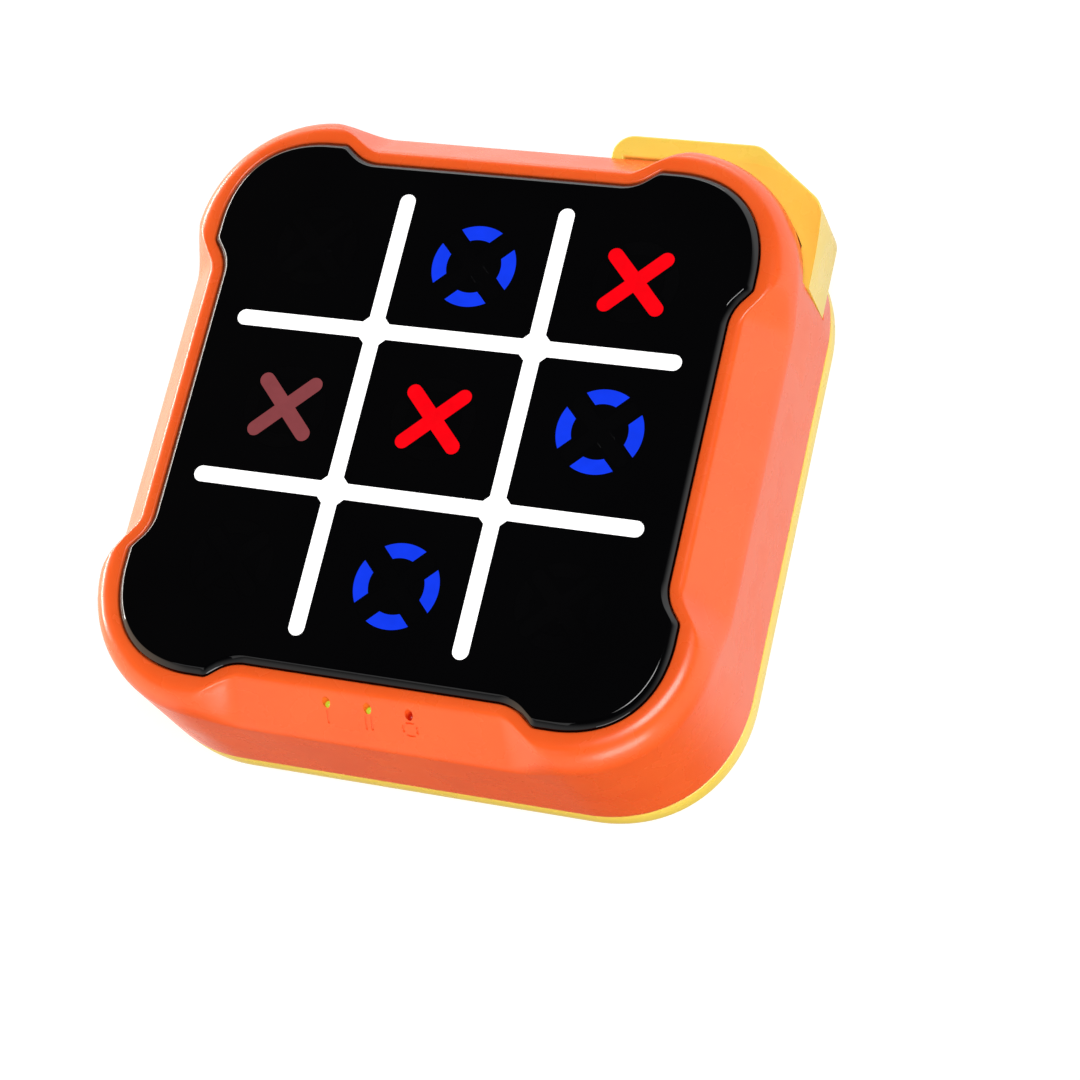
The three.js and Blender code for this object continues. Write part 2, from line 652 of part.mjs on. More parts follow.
function backCover() {
  const lowerEdge = [0, 1, 2, 3].map((i) => {
    const a = (Math.PI / 2) * (i / 3);
    return ring(seamInset(COVER_ROUND * (1 - Math.sin(a))), COVER_ROUND * (1 - Math.cos(a)));
  });
  const plate = stack([...lowerEdge, ring(seamInset(0), SEAM - SEAM_GAP)]);
  const hollowAt = (z) => squareRing(HALF - COVER_RIM, CORNER_RADIUS - COVER_RIM, z);
  const fenceInset = WALL + LOOP_GAP;
  const fenceAt = (z) => squareRing(HALF - fenceInset, CORNER_RADIUS - fenceInset, z);
  const hollow = stack([hollowAt(PLATE_THICK), hollowAt(SEAM + 5)]);
  const fence = stack([fenceAt(SEAM - 1), fenceAt(SEAM + FENCE_HIGH)]);
  const block = prism(rectangle([-BLOCK.halfX, BLOCK.halfX], [-BLOCK.low, BLOCK.high]), [0.5, BLOCK.thick]);
  const bayX = BAY.halfX + BAY.wall;
  const bayY = BAY.halfY + BAY.wall;
  const bay = box([-bayX, bayX], [-bayY, bayY], [1, BAY.roof + BAY.wall]);
  const lugTower = column(LUG.radius + 0.4, [0.5, INSERT.z[1] + 1], 0, LUG.y);
  const tubes = corners(BOSS.at).map(([x, y]) => column(BOSS.tube, [0.5, BOSS.low - LOOP_GAP], x, y));
  const shell = join(cut(join(plate, fence), hollow), block, bay, lugTower, ...tubes);

  const pocket = box([-BAY.halfX, BAY.halfX], [-BAY.halfY, BAY.halfY], [-1, BAY.roof]);
  const doorX = DOOR.halfX + DOOR.gap;
  const doorY = DOOR.halfY + DOOR.gap;
  const recessZ = [-1, DOOR.thick + 0.1];
  const recess = join(
    box([-doorX, doorX], [-doorY, doorY], recessZ),
    column(LUG.radius + DOOR.gap, recessZ, 0, LUG.y),
  );
  const tabSlots = [-TAB.x, TAB.x].map((x) => {
    const half = TAB.half + DOOR.gap;
    return box([x - half, x + half], [-doorY - TAB.reach - 0.5, -bayY + 0.5], [1, 3.1]);
  });
  const insertHole = column(INSERT.radius + 0.05, INSERT.z, 0, LUG.y);
  const screwWay = column(INSERT.bore, [0, INSERT.z[1] + 2], 0, LUG.y);
  const screwHoles = corners(BOSS.at).flatMap(([x, y]) => [
    column(CASE_SCREW.head + 0.3, [-1, CASE_SCREW.headZ[1] + 0.05], x, y),
    column(CASE_SCREW.shaft + 0.25, [0, SEAM + 5], x, y),
  ]);
  const reach = SWITCH.travel + SWITCH.play;
  const switchSlot = onSwitch(STEM.x + SWITCH.play, STEM.y + reach, [-1, SEAM]);
  const switchRecess = onSwitch(KNOB.x + SWITCH.play, KNOB.y + reach, [-1, KNOB.z[1] + 0.2]);
  const { y: [near, far], z: holeZ } = WIRE_HOLE;
  const wireWay = box([-bayX - 1, -BAY.halfX + 1], [near, far], holeZ);
  const wireWayLow = box([BAY.halfX - 1, bayX + 1], [-far, -near], holeZ);
  return cut(
    shell, pocket, recess, ...tabSlots, insertHole, screwWay, ...screwHoles,
    switchSlot, switchRecess, wireWay, wireWayLow, ...sounderHoles(),
  );
}

function sounderHoles() {
  const around = Array.from({ length: SOUNDER.holes }, (_, i) => (2 * Math.PI * i) / SOUNDER.holes);
  const spots = [[0, 0], ...around.map((a) => [SOUNDER.ring * Math.cos(a), SOUNDER.ring * Math.sin(a)])];
  return spots.map(([x, y]) => {
    return column(SOUNDER.hole, [-1, SEAM], SOUNDER.x + x, SOUNDER.y + y, COARSE);
  });
}

function batteryDoor() {
  const zs = [0, DOOR.thick];
  const plate = prism(rectangle([-DOOR.halfX, DOOR.halfX], [-DOOR.halfY, DOOR.halfY], 1.5), zs, 1);
  const lug = column(LUG.radius, zs, 0, LUG.y);
  const tabZ = [DOOR.thick - 0.1, DOOR.thick + TAB.thick];
  const tabs = [-TAB.x, TAB.x].map((x) => {
    return box([x - TAB.half, x + TAB.half], [-DOOR.halfY - TAB.reach, TAB.base - DOOR.halfY], tabZ);
  });
  const grips = Array.from({ length: GRIP.count }, (_, i) => {
    const y = DOOR.halfY - GRIP.from - GRIP.pitch * i;
    return box([-GRIP.half, GRIP.half], [y - GRIP.width / 2, y + GRIP.width / 2], [-1, GRIP.deep]);
  });
  const seat = column(DOOR_SCREW.head + 0.25, [-1, DOOR_SCREW.headZ[1] + 0.05], 0, LUG.y);
  const way = column(DOOR_SCREW.shaft + DOOR_SCREW.way, [-1, 5], 0, LUG.y);
  return cut(join(plate, lug, ...tabs), ...grips, seat, way);
}

// ---------------------------------------------------------------- screws, cells, contacts, wires

// Screw along +Z with a domed head below and a cross recess in it.
function screw({ head, shaft }, headLow, headHigh, tip, x, y) {
  const profile = [
    [0, headLow], [head * 0.7, headLow], [head, headLow + 0.4], [head, headHigh],
    [shaft, headHigh], [shaft, tip - 0.8], [0, tip],
  ];
  const deep = headLow + 0.45 * (headHigh - headLow);
  const arm = head * 0.62;
  const slim = head * 0.16;
  const recess = join(
    box([x - arm, x + arm], [y - slim, y + slim], [headLow - 1, deep]),
    box([x - slim, x + slim], [y - arm, y + arm], [headLow - 1, deep]),
  );
  return cut(turned(profile, x, y, 10), recess);
}

function doorInsert() {
  const { radius, bore, z } = INSERT;
  const middle = (z[0] + z[1]) / 2;
  const body = turned([
    [0, z[0]], [radius, z[0]], [radius, middle - 0.5], [radius - 0.4, middle - 0.4],
    [radius - 0.4, middle + 0.4], [radius, middle + 0.5], [radius, z[1]], [0, z[1]],
  ], 0, LUG.y, 2 * COARSE);
  return cut(body, column(bore, [z[0] - 1, z[1] + 1], 0, LUG.y));
}

// AAA cell lying along Y; way is +1 when its nub points to +Y.
function batteryCell(x, way) {
  const end = BAY.halfY - 1.3;
  const { radius, length, nub, nubRadius } = CELL;
  const body = length - nub;
  const profile = [
    [0, 0], [radius - 0.6, 0], [radius, 0.5], [radius, body - 0.5],
    [radius - 0.6, body], [nubRadius, body], [nubRadius, length], [0, length],
  ];
  const geometry = new THREE.LatheGeometry(profile.map(([r, y]) => new THREE.Vector2(r, y)), 2 * COARSE);
  geometry.translate(0, -length, 0);
  geometry.translate(0, end, 0);
  if (way < 0) geometry.rotateZ(Math.PI);
  geometry.translate(x, 0, CELL.z);
  return solid(geometry);
}

// Conical wire spring that grows from a contact plate towards its cell.
class SpringPath extends THREE.Curve {
  constructor(x, y, way) {
    super();
    Object.assign(this, { x, y, way });
  }

  getPoint(t, target = new THREE.Vector3()) {
    const angle = 2 * Math.PI * SPRING.turns * t;
    const radius = THREE.MathUtils.lerp(SPRING.wide, SPRING.narrow, t);
    return target.set(
      this.x + radius * Math.cos(angle),
      this.y + this.way * SPRING.reach * t,
      CELL.z + radius * Math.sin(angle),
    );
  }
}

function wireTube(path, radius, steps, sides) {
  const section = new THREE.Shape();
  const points = Array.from({ length: sides }, (_, i) => {
    const a = (2 * Math.PI * i) / sides;
    return new THREE.Vector2(radius * Math.cos(a), radius * Math.sin(a));
  });
  section.setFromPoints(points);
  return solid(new THREE.ExtrudeGeometry(section, { steps, extrudePath: path, bevelEnabled: false }));
}

function contactPlate(x0, x1, end) {
  const face = end * (BAY.halfY - 0.05);
  const ys = [face, face - end * CONTACT.thick].sort((a, b) => a - b);
  return box([x0, x1], ys, CONTACT.z);
}

function contactBump(x, end) {
  const face = end * (BAY.halfY - 0.1);
  const ys = [face, face - end * CONTACT.bumpOut].sort((a, b) => a - b);
  return box([x - CONTACT.bump, x + CONTACT.bump], ys, [CELL.z - CONTACT.bump, CELL.z + CONTACT.bump]);
}

function contactSpring(x, end) {
  return wireTube(new SpringPath(x, end * (BAY.halfY - 0.35), -end), SPRING.wire, 10 * SPRING.turns, 4);
}

const cellX = (i) => i * CELL.spacing;

function linkContact(springAt, bumpAt, end) {
  const [low, high] = [springAt, bumpAt].sort((a, b) => a - b);
  return join(
    contactPlate(cellX(low) - CONTACT.half, cellX(high) + CONTACT.half, end),
    contactSpring(cellX(springAt), end),
    contactBump(cellX(bumpAt), end),
  );
}

function positiveContact() {
  return join(
    contactPlate(cellX(-1) - CONTACT.half, cellX(-1) + CONTACT.half, 1),
    contactBump(cellX(-1), 1),
  );
}

function negativeContact() {
  return join(
    contactPlate(cellX(1) - CONTACT.half, cellX(1) + CONTACT.half, -1),
    contactSpring(cellX(1), -1),
  );
}

// Wire from a battery contact, out through the bay wall and up to the board.
function batteryWire(side) {
  const { radius, low, startY, holeY, standOff } = WIRE;
  const inside = BAY.halfX - 0.7;
  const outside = BAY.halfX + standOff;
  const points = [
    [inside, startY, low + 0.2],
    [inside, holeY + 2.2, low],
    [BAY.halfX, holeY + 0.4, low - 0.2],
    [outside - 1.4, holeY, low],
    [outside, holeY - 1, low + 2],
    [outside, holeY - 2, BOARD.z[0] - 0.3],
  ].map(([x, y, z]) => new THREE.Vector3(side * x, -side * y, z));
  return wireTube(new THREE.CatmullRomCurve3(points), radius, 18, 6);
}

// ---------------------------------------------------------------- switch and sounder

// Box around the switch's middle, by its half width, half length and heights.
function onSwitch(x, y, zs) {
  return box([SWITCH.x - x, SWITCH.x + x], [SWITCH.y - y, SWITCH.y + y], zs);
}

function switchBody() {
  const [low, high] = HOUSING.z;
  const channelY = WIPER.y + SWITCH.travel + SWITCH.play;
  const channel = onSwitch(HOUSING.x - HOUSING.side, channelY, [low - 1, high - HOUSING.roof]);
  return cut(onSwitch(HOUSING.x, HOUSING.y, HOUSING.z), channel);
}

// Knob with grip ribs, its stem and the wiper block inside the housing.
function switchKnob() {
  const ribs = [-1, 0, 1].map((i) => {
    const y = SWITCH.y + i * KNOB_RIB.pitch;
    const ys = [y - KNOB_RIB.half, y + KNOB_RIB.half];
    return box([SWITCH.x - KNOB_RIB.x, SWITCH.x + KNOB_RIB.x], ys, [-1, KNOB.z[0] + KNOB_RIB.deep]);
  });
  const knob = onSwitch(KNOB.x, KNOB.y, KNOB.z);
  const stem = onSwitch(STEM.x, STEM.y, [KNOB.z[1] - 0.2, WIPER.z[0] + 0.6]);
  const wiper = onSwitch(WIPER.x, WIPER.y, WIPER.z);
  return cut(join(knob, stem, wiper), ...ribs);
}

function sounder() {
  const { x, y, radius, foot, z: [low, high] } = SOUNDER;
  const soft = 0.4;
  return turned([
    [0, low + foot], [1, low + foot], [1, low], [radius, low],
    [radius, high - soft], [radius - soft, high], [0, high],
  ], x, y, 20);
}

// ---------------------------------------------------------------- the assembly

const game = new THREE.Group();

function add(name, body, material) {
  const mesh = new THREE.Mesh(surface(body), material);
  mesh.name = name;
  game.add(mesh);
}

add('top_case', topCase(), ORANGE_ABS());
add('back_cover', backCover(), YELLOW_ABS());
add('strap_loop', strapLoop(), YELLOW_ABS());
add('front_panel', frontPanel(), BLACK_GLOSS());
add('grid_inlay', gridSolid(0, [DEPTH - GRID.depth, DEPTH]), WHITE_MARK());

CELLS.forEach(({ name, markX, markY }) => {
  const crossLook = CROSS_LOOK[name] ?? SMOKED;
  const ringLook = RING_LOOK[name] ?? SMOKED;
  add(`x_mark_${name}`, crossSolid(0, [DEPTH - CROSS.depth, DEPTH], markX, markY), crossLook());
  add(`o_mark_${name}`, ringSolid(0, DEPTH, markX, markY), ringLook());
});

add('touch_film', touchFilm(), CLEAR_FILM());
add('light_box', lightBox(), WHITE_ABS());
add('main_board', mainBoard(), BOARD_GREEN());
add('status_lens_one_player', statusLens(STATUS_X[0]), LIGHT_GREEN());
add('status_lens_two_player', statusLens(STATUS_X[1]), LIGHT_GREEN());
add('status_lens_power', statusLens(STATUS_X[2]), LIGHT_RED());

const PLACE_NAME = ['top_right', 'top_left', 'bottom_left', 'bottom_right'];
fourPlaces(POST.x, POST.y).forEach(([x, y], i) => {
  const low = BOARD.z[0] - BOARD_SCREW.headHigh - 0.05;
  const body = screw(BOARD_SCREW, low, low + BOARD_SCREW.headHigh, BOARD.z[0] + BOARD_SCREW.reach, x, y);
  add(`board_screw_${PLACE_NAME[i]}`, body, STEEL());
});
corners(BOSS.at).forEach(([x, y], i) => {
  const body = screw(CASE_SCREW, CASE_SCREW.headZ[0], CASE_SCREW.headZ[1], CASE_SCREW.tip, x, y);
  add(`case_screw_${PLACE_NAME[i]}`, body, STEEL());
});

add('battery_door', batteryDoor(), YELLOW_ABS());
add('door_screw', screw(DOOR_SCREW, ...DOOR_SCREW.headZ, DOOR_SCREW.tip, 0, LUG.y), STEEL());
add('door_insert', doorInsert(), BRASS());
add('battery_left', batteryCell(cellX(-1), 1), CELL_WRAP());
add('battery_middle', batteryCell(cellX(0), -1), CELL_WRAP());
add('battery_right', batteryCell(cellX(1), 1), CELL_WRAP());
add('contact_positive', positiveContact(), STEEL());
add('contact_negative', negativeContact(), STEEL());
add('contact_link_top', linkContact(0, 1, 1), STEEL());
add('contact_link_bottom', linkContact(-1, 0, -1), STEEL());
add('wire_positive', batteryWire(-1), RED_WIRE());
add('wire_negative', batteryWire(1), BLACK_WIRE());
add('switch_body', switchBody(), BLACK_NYLON());
add('switch_knob', switchKnob(), BLACK_NYLON());
add('sounder', sounder(), BLACK_NYLON());

export default game;
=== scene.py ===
# %% [markdown]
# # A handheld tic tac toe game
#
# The real object is a pocket game in four moulded shells: an orange case with four raised
# lobes round a glossy black panel, a yellow back cover, a yellow strap loop at one corner and a
# battery door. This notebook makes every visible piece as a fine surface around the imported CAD
# model, gives each its moulded, polished or plated finish, and sets a soft white studio round it.
# The CAD model is the fixed frame: nothing in it is moved, and pieces that need rounder edges
# than its flat facets give are made again here and stand in for the CAD node.

# %% Load the frame
import json
import math

import bpy
import numpy as np
from mathutils import Matrix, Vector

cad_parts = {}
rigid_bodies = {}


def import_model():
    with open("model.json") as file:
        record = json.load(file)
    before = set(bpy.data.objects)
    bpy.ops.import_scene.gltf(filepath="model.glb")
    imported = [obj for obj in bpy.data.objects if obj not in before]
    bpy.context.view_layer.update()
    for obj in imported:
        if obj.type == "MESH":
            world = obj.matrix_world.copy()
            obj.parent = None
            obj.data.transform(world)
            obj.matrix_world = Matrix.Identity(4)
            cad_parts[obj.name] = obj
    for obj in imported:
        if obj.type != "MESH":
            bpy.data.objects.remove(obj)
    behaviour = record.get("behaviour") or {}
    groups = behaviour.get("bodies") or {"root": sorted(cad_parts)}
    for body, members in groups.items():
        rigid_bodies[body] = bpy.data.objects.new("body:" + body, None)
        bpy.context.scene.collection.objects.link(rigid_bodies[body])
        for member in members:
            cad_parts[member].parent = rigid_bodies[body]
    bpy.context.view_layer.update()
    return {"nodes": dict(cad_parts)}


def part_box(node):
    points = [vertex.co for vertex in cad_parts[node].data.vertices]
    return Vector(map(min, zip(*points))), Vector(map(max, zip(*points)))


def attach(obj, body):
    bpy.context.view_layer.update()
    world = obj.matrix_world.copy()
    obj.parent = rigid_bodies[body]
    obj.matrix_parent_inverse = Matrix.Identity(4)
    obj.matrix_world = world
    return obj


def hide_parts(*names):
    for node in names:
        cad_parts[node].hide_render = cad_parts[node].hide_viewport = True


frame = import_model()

nodes = frame["nodes"]
scene = bpy.context.scene
MM = 0.001

# %% [markdown]
# ## Sizes
#
# A maker keeps the few sizes that drive the design in one place. These are the CAD model's own
# driving sizes, in millimetres, with +Z out of the playing face. The heights that the frame can
# tell are read from its boxes, so that a change in the CAD model carries over.

# %% Driving sizes


def node_box(name):
    """A CAD node's lowest and highest corners, in millimetres."""
    low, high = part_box(name)
    return np.array(low) / MM, np.array(high) / MM


DEPTH = round(float(node_box("front_panel")[1][2]), 3)
LEDGE = round(float(node_box("front_panel")[0][2]), 3)
SEAM = round(float(node_box("top_case")[0][2]), 3)
LOOP_LOW, LOOP_HIGH = (round(float(corner[2]), 3) for corner in node_box("strap_loop"))
LIP = DEPTH - 0.6
RIDGE = LIP - 5.45

HALF = 37.5
CORNER = 21.8
RADIUS = HALF - CORNER
DRAFT = 0.5
CORNER_DRAFT = 0.3
WALL = 2.0
SEAM_GAP = 0.3

LOBE_INSET = 3.9
LOBE_PINCH = 0.4
WAIST_DROP = 2.1
WAIST_HALF = 15.25
HOLLOW = 5.2
CREST = 1.2
FLANK = math.radians(38)
PITCH = 19.86
print(f"playing face at {DEPTH}, lip {LIP:.2f}, ridge {RIDGE:.2f}, seam {SEAM} mm")

# %% [markdown]
# ## The outline that everything follows
#
# The case, the panel and the back cover all follow one rounded square. Round its sides the panel
# opening runs straight along a waist, swings out through a hollow arc, a straight flank and a
# crest arc, and then follows the corner lobe. A designer draws that once and offsets it, so here
# it is a set of stations: a point on the wall, the wall's outward normal there, and the distance
# along the wall from the middle of the nearest side. Every ring of every shell is the stations
# drawn in by an inset that is a formula of that distance, computed as whole arrays.

# %% Stations round the body


def smooth(value, start, stop):
    """0 before start, 1 after stop, and 3t^2 - 2t^3 between them."""
    t = np.clip((value - start) / (stop - start), 0, 1)
    return t * t * (3 - 2 * t)


HOLLOW_RUN = HOLLOW * math.sin(FLANK)
HOLLOW_RISE = HOLLOW * (1 - math.cos(FLANK))
CREST_RUN = CREST * math.sin(FLANK)
CREST_RISE = CREST * (1 - math.cos(FLANK))
FLANK_RUN = (WAIST_DROP - HOLLOW_RISE - CREST_RISE) / math.tan(FLANK)
LOBE_START = WAIST_HALF + HOLLOW_RUN + FLANK_RUN + CREST_RUN


def scallop(along):
    """How far the opening has swung out: a hollow arc, then a straight flank, then a crest arc."""
    run = along - WAIST_HALF
    left = LOBE_START - along
    hollow = HOLLOW - np.sqrt(np.maximum(HOLLOW**2 - run**2, 0))
    crest = WAIST_DROP - CREST + np.sqrt(np.maximum(CREST**2 - left**2, 0))
    straight = HOLLOW_RISE + (run - HOLLOW_RUN) * math.tan(FLANK)
    cases = [run <= 0, left <= 0, run < HOLLOW_RUN, left < CREST_RUN]
    return np.select(cases, [0 * run, 0 * run + WAIST_DROP, hollow, crest], straight)


def stations():
    """One quarter of the outline, a straight side and a corner arc, turned to all four sides."""
    flank = np.linspace(WAIST_HALF - 0.6, LOBE_START + 0.8, 40)
    side = np.concatenate([[-CORNER], -flank[::-1], np.linspace(-12, 12, 7), flank])
    angle = np.linspace(0, math.pi / 2, 40)[:-1]
    x = np.concatenate([0 * side + HALF, CORNER + RADIUS * np.cos(angle)])
    y = np.concatenate([side, CORNER + RADIUS * np.sin(angle)])
    nx = np.concatenate([0 * side + 1, np.cos(angle)])
    ny = np.concatenate([0 * side, np.sin(angle)])
    arc_run = CORNER + RADIUS * np.minimum(angle, math.pi / 2 - angle)
    along = np.concatenate([np.abs(side), arc_run])
    turns = [(1, 0), (0, 1), (-1, 0), (0, -1)]
    place = np.concatenate([np.stack([c * x - s * y, s * x + c * y], 1) for c, s in turns])
    normal = np.concatenate([np.stack([c * nx - s * ny, s * nx + c * ny], 1) for c, s in turns])
    return place, normal, np.tile(along, 4)


WALL_POINT, WALL_NORMAL, ALONG = stations()
ON_CORNER = np.clip(ALONG - CORNER, 0, None) / RADIUS
DIAGONAL = np.sin(2 * ON_CORNER) ** 2


def ring(inset, height):
    """The stations drawn in by an inset, at a height; both may be one value or one a station."""
    inset = np.broadcast_to(inset, ALONG.shape)[:, None]
    height = np.broadcast_to(height, ALONG.shape)[:, None]
    return np.hstack([WALL_POINT - WALL_NORMAL * inset, height])


def opening(extra=0.0):
    """Inset of the panel opening's wall, plus some extra."""
    return LOBE_INSET + WAIST_DROP - scallop(ALONG) - LOBE_PINCH * DIAGONAL + extra


def seam(extra=0.0):
    """Inset of the wall at the seam, where its draft has carried it furthest out."""
    return extra - DRAFT - CORNER_DRAFT * DIAGONAL


print(f"{len(ALONG)} stations, lobes start {LOBE_START:.2f} mm from the middle of a side")

# %% [markdown]
# ## Solids from rings and outlines
#
# Most moulded pieces are one of three surfaces: rings laid on top of each other and capped, rings
# that close on themselves like a tyre, or a section turned about an axis. Small flat pieces are an
# outline with softened edges: each ring near an edge is the outline drawn in by r(1 - cos a), at
# a height of r(1 - sin a), which is the quarter circle that a tool's edge leaves in the mould.

# %% Lofts and tyres


def rows_of_quads(rows, columns, closed_rows):
    """Faces of a grid whose columns close on themselves, and whose rows may too."""
    steps = rows if closed_rows else rows - 1
    row, column = np.meshgrid(np.arange(steps), np.arange(columns), indexing="ij")
    next_row = (row + 1) % rows
    next_column = (column + 1) % columns
    corners = [(row, column), (row, next_column), (next_row, next_column), (next_row, column)]
    return np.stack([(r * columns + c).ravel() for r, c in corners], 1).tolist()


def loft(rings):
    """Closed solid through rings from low to high, with a flat cap at each end."""
    rings = np.array(rings)
    count = rings.shape[1]
    faces = rows_of_quads(len(rings), count, False)
    faces.append(list(range(count))[::-1])
    faces.append(list(range((len(rings) - 1) * count, len(rings) * count)))
    return rings.reshape(-1, 3), faces


def tyre(rings):
    """Closed solid through rings whose last joins the first."""
    rings = np.array(rings)
    return rings.reshape(-1, 3), rows_of_quads(len(rings), rings.shape[1], True)


print(f"a tyre of 4 rings of 6 points has {len(rows_of_quads(4, 6, True))} faces")

# %% Outlines


def arc(x, y, radius, start, stop, steps):
    """Points on a circle from one angle to another, in degrees."""
    angle = np.radians(np.linspace(start, stop, steps + 1))
    return np.stack([x + radius * np.cos(angle), y + radius * np.sin(angle)], 1)


def circle(x, y, radius, sides=48):
    """Points round a whole circle."""
    return arc(x, y, radius, 0, 360, sides)[:-1]


def rounded(corners, steps=8):
    """Outline through corners [x, y, radius], each turned by the arc that touches both its sides."""
    made = []
    for i, (x, y, radius) in enumerate(corners):
        here = np.array([x, y])
        before = np.array(corners[i - 1][:2]) - here
        after = np.array(corners[(i + 1) % len(corners)][:2]) - here
        before, after = before / np.hypot(*before), after / np.hypot(*after)
        if not radius:
            made.append(here[None])
            continue
        half = math.acos(np.clip(before @ after, -1, 1)) / 2
        centre = here + (before + after) / np.hypot(*(before + after)) * radius / math.sin(half)
        start = here + before * radius / math.tan(half) - centre
        stop = here + after * radius / math.tan(half) - centre
        turn = math.atan2(start[0] * stop[1] - start[1] * stop[0], start @ stop)
        angle = math.atan2(start[1], start[0]) + np.linspace(0, turn, steps + 1)
        made.append(centre + radius * np.stack([np.cos(angle), np.sin(angle)], 1))
    return np.concatenate(made)


def block(x0, x1, y0, y1, radius=0.0, steps=8):
    """Outline of a rectangle with rounded corners."""
    return rounded([[x0, y0, radius], [x1, y0, radius], [x1, y1, radius], [x0, y1, radius]], steps)


def drawn_in(outline, inset):
    """Every side of an outline moved in by the inset, with the corners kept."""
    edge = np.roll(outline, -1, 0) - outline
    edge = edge / np.maximum(np.hypot(edge[:, 0], edge[:, 1]), 1e-9)[:, None]
    out = np.stack([edge[:, 1], -edge[:, 0]], 1)
    before = np.roll(out, 1, 0)
    mitre = (out + before) / (1 + np.sum(out * before, 1))[:, None]
    return outline - inset * mitre


sample = drawn_in(block(0, 10, 0, 10, 1), 0.5)
print(f"a 10 mm block drawn in by 0.5 mm is {np.ptp(sample[:, 0]):.2f} mm wide")

# %% Solids from outlines, profiles and paths
FLAT_STEP = 0.04


def slab(outline, low, high, soft_low=0.0, soft_high=0.0, steps=4):
    """Solid from an outline, its lower and upper edges rounded, with a narrow flat step at each cap.

    The step keeps a rounding's smooth shading from bending the light on the whole flat face.
    """
    turn = np.radians(np.linspace(0, 90, steps + 1))
    levels = [(soft_low * (1 - math.sin(a)), low + soft_low * (1 - math.cos(a))) for a in turn]
    levels += [(soft_high * (1 - math.cos(a)), high - soft_high * (1 - math.sin(a))) for a in turn]
    if not soft_low:
        levels = [(0, low)] + levels[steps + 1:]
    if not soft_high:
        levels = levels[:-(steps + 1)] + [(0, high)]
    levels = [(soft_low + FLAT_STEP, low), *levels, (soft_high + FLAT_STEP, high)]
    return loft([np.column_stack([drawn_in(outline, e), np.full(len(outline), z)]) for e, z in levels])


def turned(profile, x, y, sides=48):
    """Solid turned about a vertical axis from a profile of [radius, height], low to high."""
    radius, height = np.array(profile, float).T
    angle = np.linspace(0, 2 * math.pi, sides, endpoint=False)
    rings = np.stack([
        x + radius[:, None] * np.cos(angle),
        y + radius[:, None] * np.sin(angle),
        np.repeat(height[:, None], sides, 1),
    ], 2)
    return loft(rings)


def softened(profile, radius, steps=5):
    """A profile of [radius, height] with each inner corner rounded."""
    ends = [np.array(profile[:1], float), np.array(profile[-1:], float)]
    middle = rounded([[r, z, radius] for r, z in profile], steps)
    closing = steps + 1
    return np.concatenate([ends[0], middle[closing:-closing], ends[1]])


def tube(path, radius, reference, sides=12):
    """Round section swept along a path, turned so that one side stays near a fixed direction."""
    path = np.asarray(path, float)
    ahead = np.gradient(path, axis=0)
    ahead = ahead / np.linalg.norm(ahead, axis=1)[:, None]
    side = np.cross(ahead, reference)
    side = side / np.linalg.norm(side, axis=1)[:, None]
    other = np.cross(ahead, side)
    angle = np.linspace(0, 2 * math.pi, sides, endpoint=False)[None, :, None]
    around = side[:, None] * np.cos(angle) + other[:, None] * np.sin(angle)
    return loft(path[:, None] + radius * around)


def gather(*solids):
    """Several separate solids as one list of points and faces."""
    points, faces, start = [], [], 0
    for own_points, own_faces in solids:
        points.append(own_points)
        faces += [[start + index for index in face] for face in own_faces]
        start += len(own_points)
    return np.concatenate(points), faces


sample = slab(block(0, 10, 0, 10, 1), 0, 2, 0.3, 0.3)
print(f"a softened 10 mm block has {len(sample[1])} faces")

# %% [markdown]
# ## From solids to pieces
#
# A piece becomes a mesh object at the origin, in metres, riding on its CAD body. Pockets, holes
# and ribs are cut or joined with an exact boolean, which is applied at once, so that the finished
# piece carries no modifier. Shading is smooth, but any edge that turns more than a set angle stays
# sharp, which keeps flat faces flat and lets the small modelled roundings catch the light.

# %% Meshes and booleans


def mesh_object(name, solid):
    """A mesh object in the scene from a solid in millimetres."""
    points, faces = solid
    mesh = bpy.data.meshes.new(name)
    mesh.from_pydata(np.asarray(points) * MM, [], faces)
    mesh.validate()
    made = bpy.data.objects.new(name, mesh)
    scene.collection.objects.link(made)
    return made


def combine(body, tools, operation):
    """Joins solids to a piece, or cuts them out of it, and applies the result."""
    bench = bpy.data.collections.new("bench")
    scene.collection.children.link(bench)
    for index, tool in enumerate(tools):
        item = mesh_object(f"tool_{index}", tool)
        scene.collection.objects.unlink(item)
        bench.objects.link(item)
    change = body.modifiers.new("change", "BOOLEAN")
    change.solver = "EXACT"
    change.use_self = True
    change.operation = operation
    change.operand_type = "COLLECTION"
    change.collection = bench
    graph = bpy.context.evaluated_depsgraph_get()
    result = bpy.data.meshes.new_from_object(body.evaluated_get(graph))
    before = body.data
    body.modifiers.clear()
    body.data = result
    bpy.data.meshes.remove(before)
    result.name = body.name
    for item in list(bench.objects):
        bpy.data.meshes.remove(item.data)
    bpy.data.collections.remove(bench)


def finish_piece(piece, material, body, replaced=(), sharp=32):
    """Shades a piece, gives it its material, and lets it ride in place of CAD nodes."""
    mesh = piece.data
    mesh.materials.clear()
    mesh.materials.append(material)
    mesh.shade_smooth()
    mesh.set_sharp_from_angle(angle=math.radians(sharp))
    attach(piece, body)
    if replaced:
        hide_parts(*replaced)
    print(f"{piece.name}: {len(mesh.polygons)} faces")


print(f"{len(bpy.data.meshes)} meshes before the first new piece")

# %% [markdown]
# ## Finishes
#
# Each material starts from what the real one is. Case plastic is ABS from a lightly spark-eroded
# mould: satin, with a grain of a few tenths of a millimetre and a trace of flow marks. The panel is
# polished black acrylic, which shows nothing but its reflections and a few fine hairlines. Plated
# steel, brass, printed sleeves, green solder mask and vinyl insulation finish the inside. Patterns
# read Object coordinates, which are metres here, so a scale is one over the size in metres.

# %% Helpers for materials


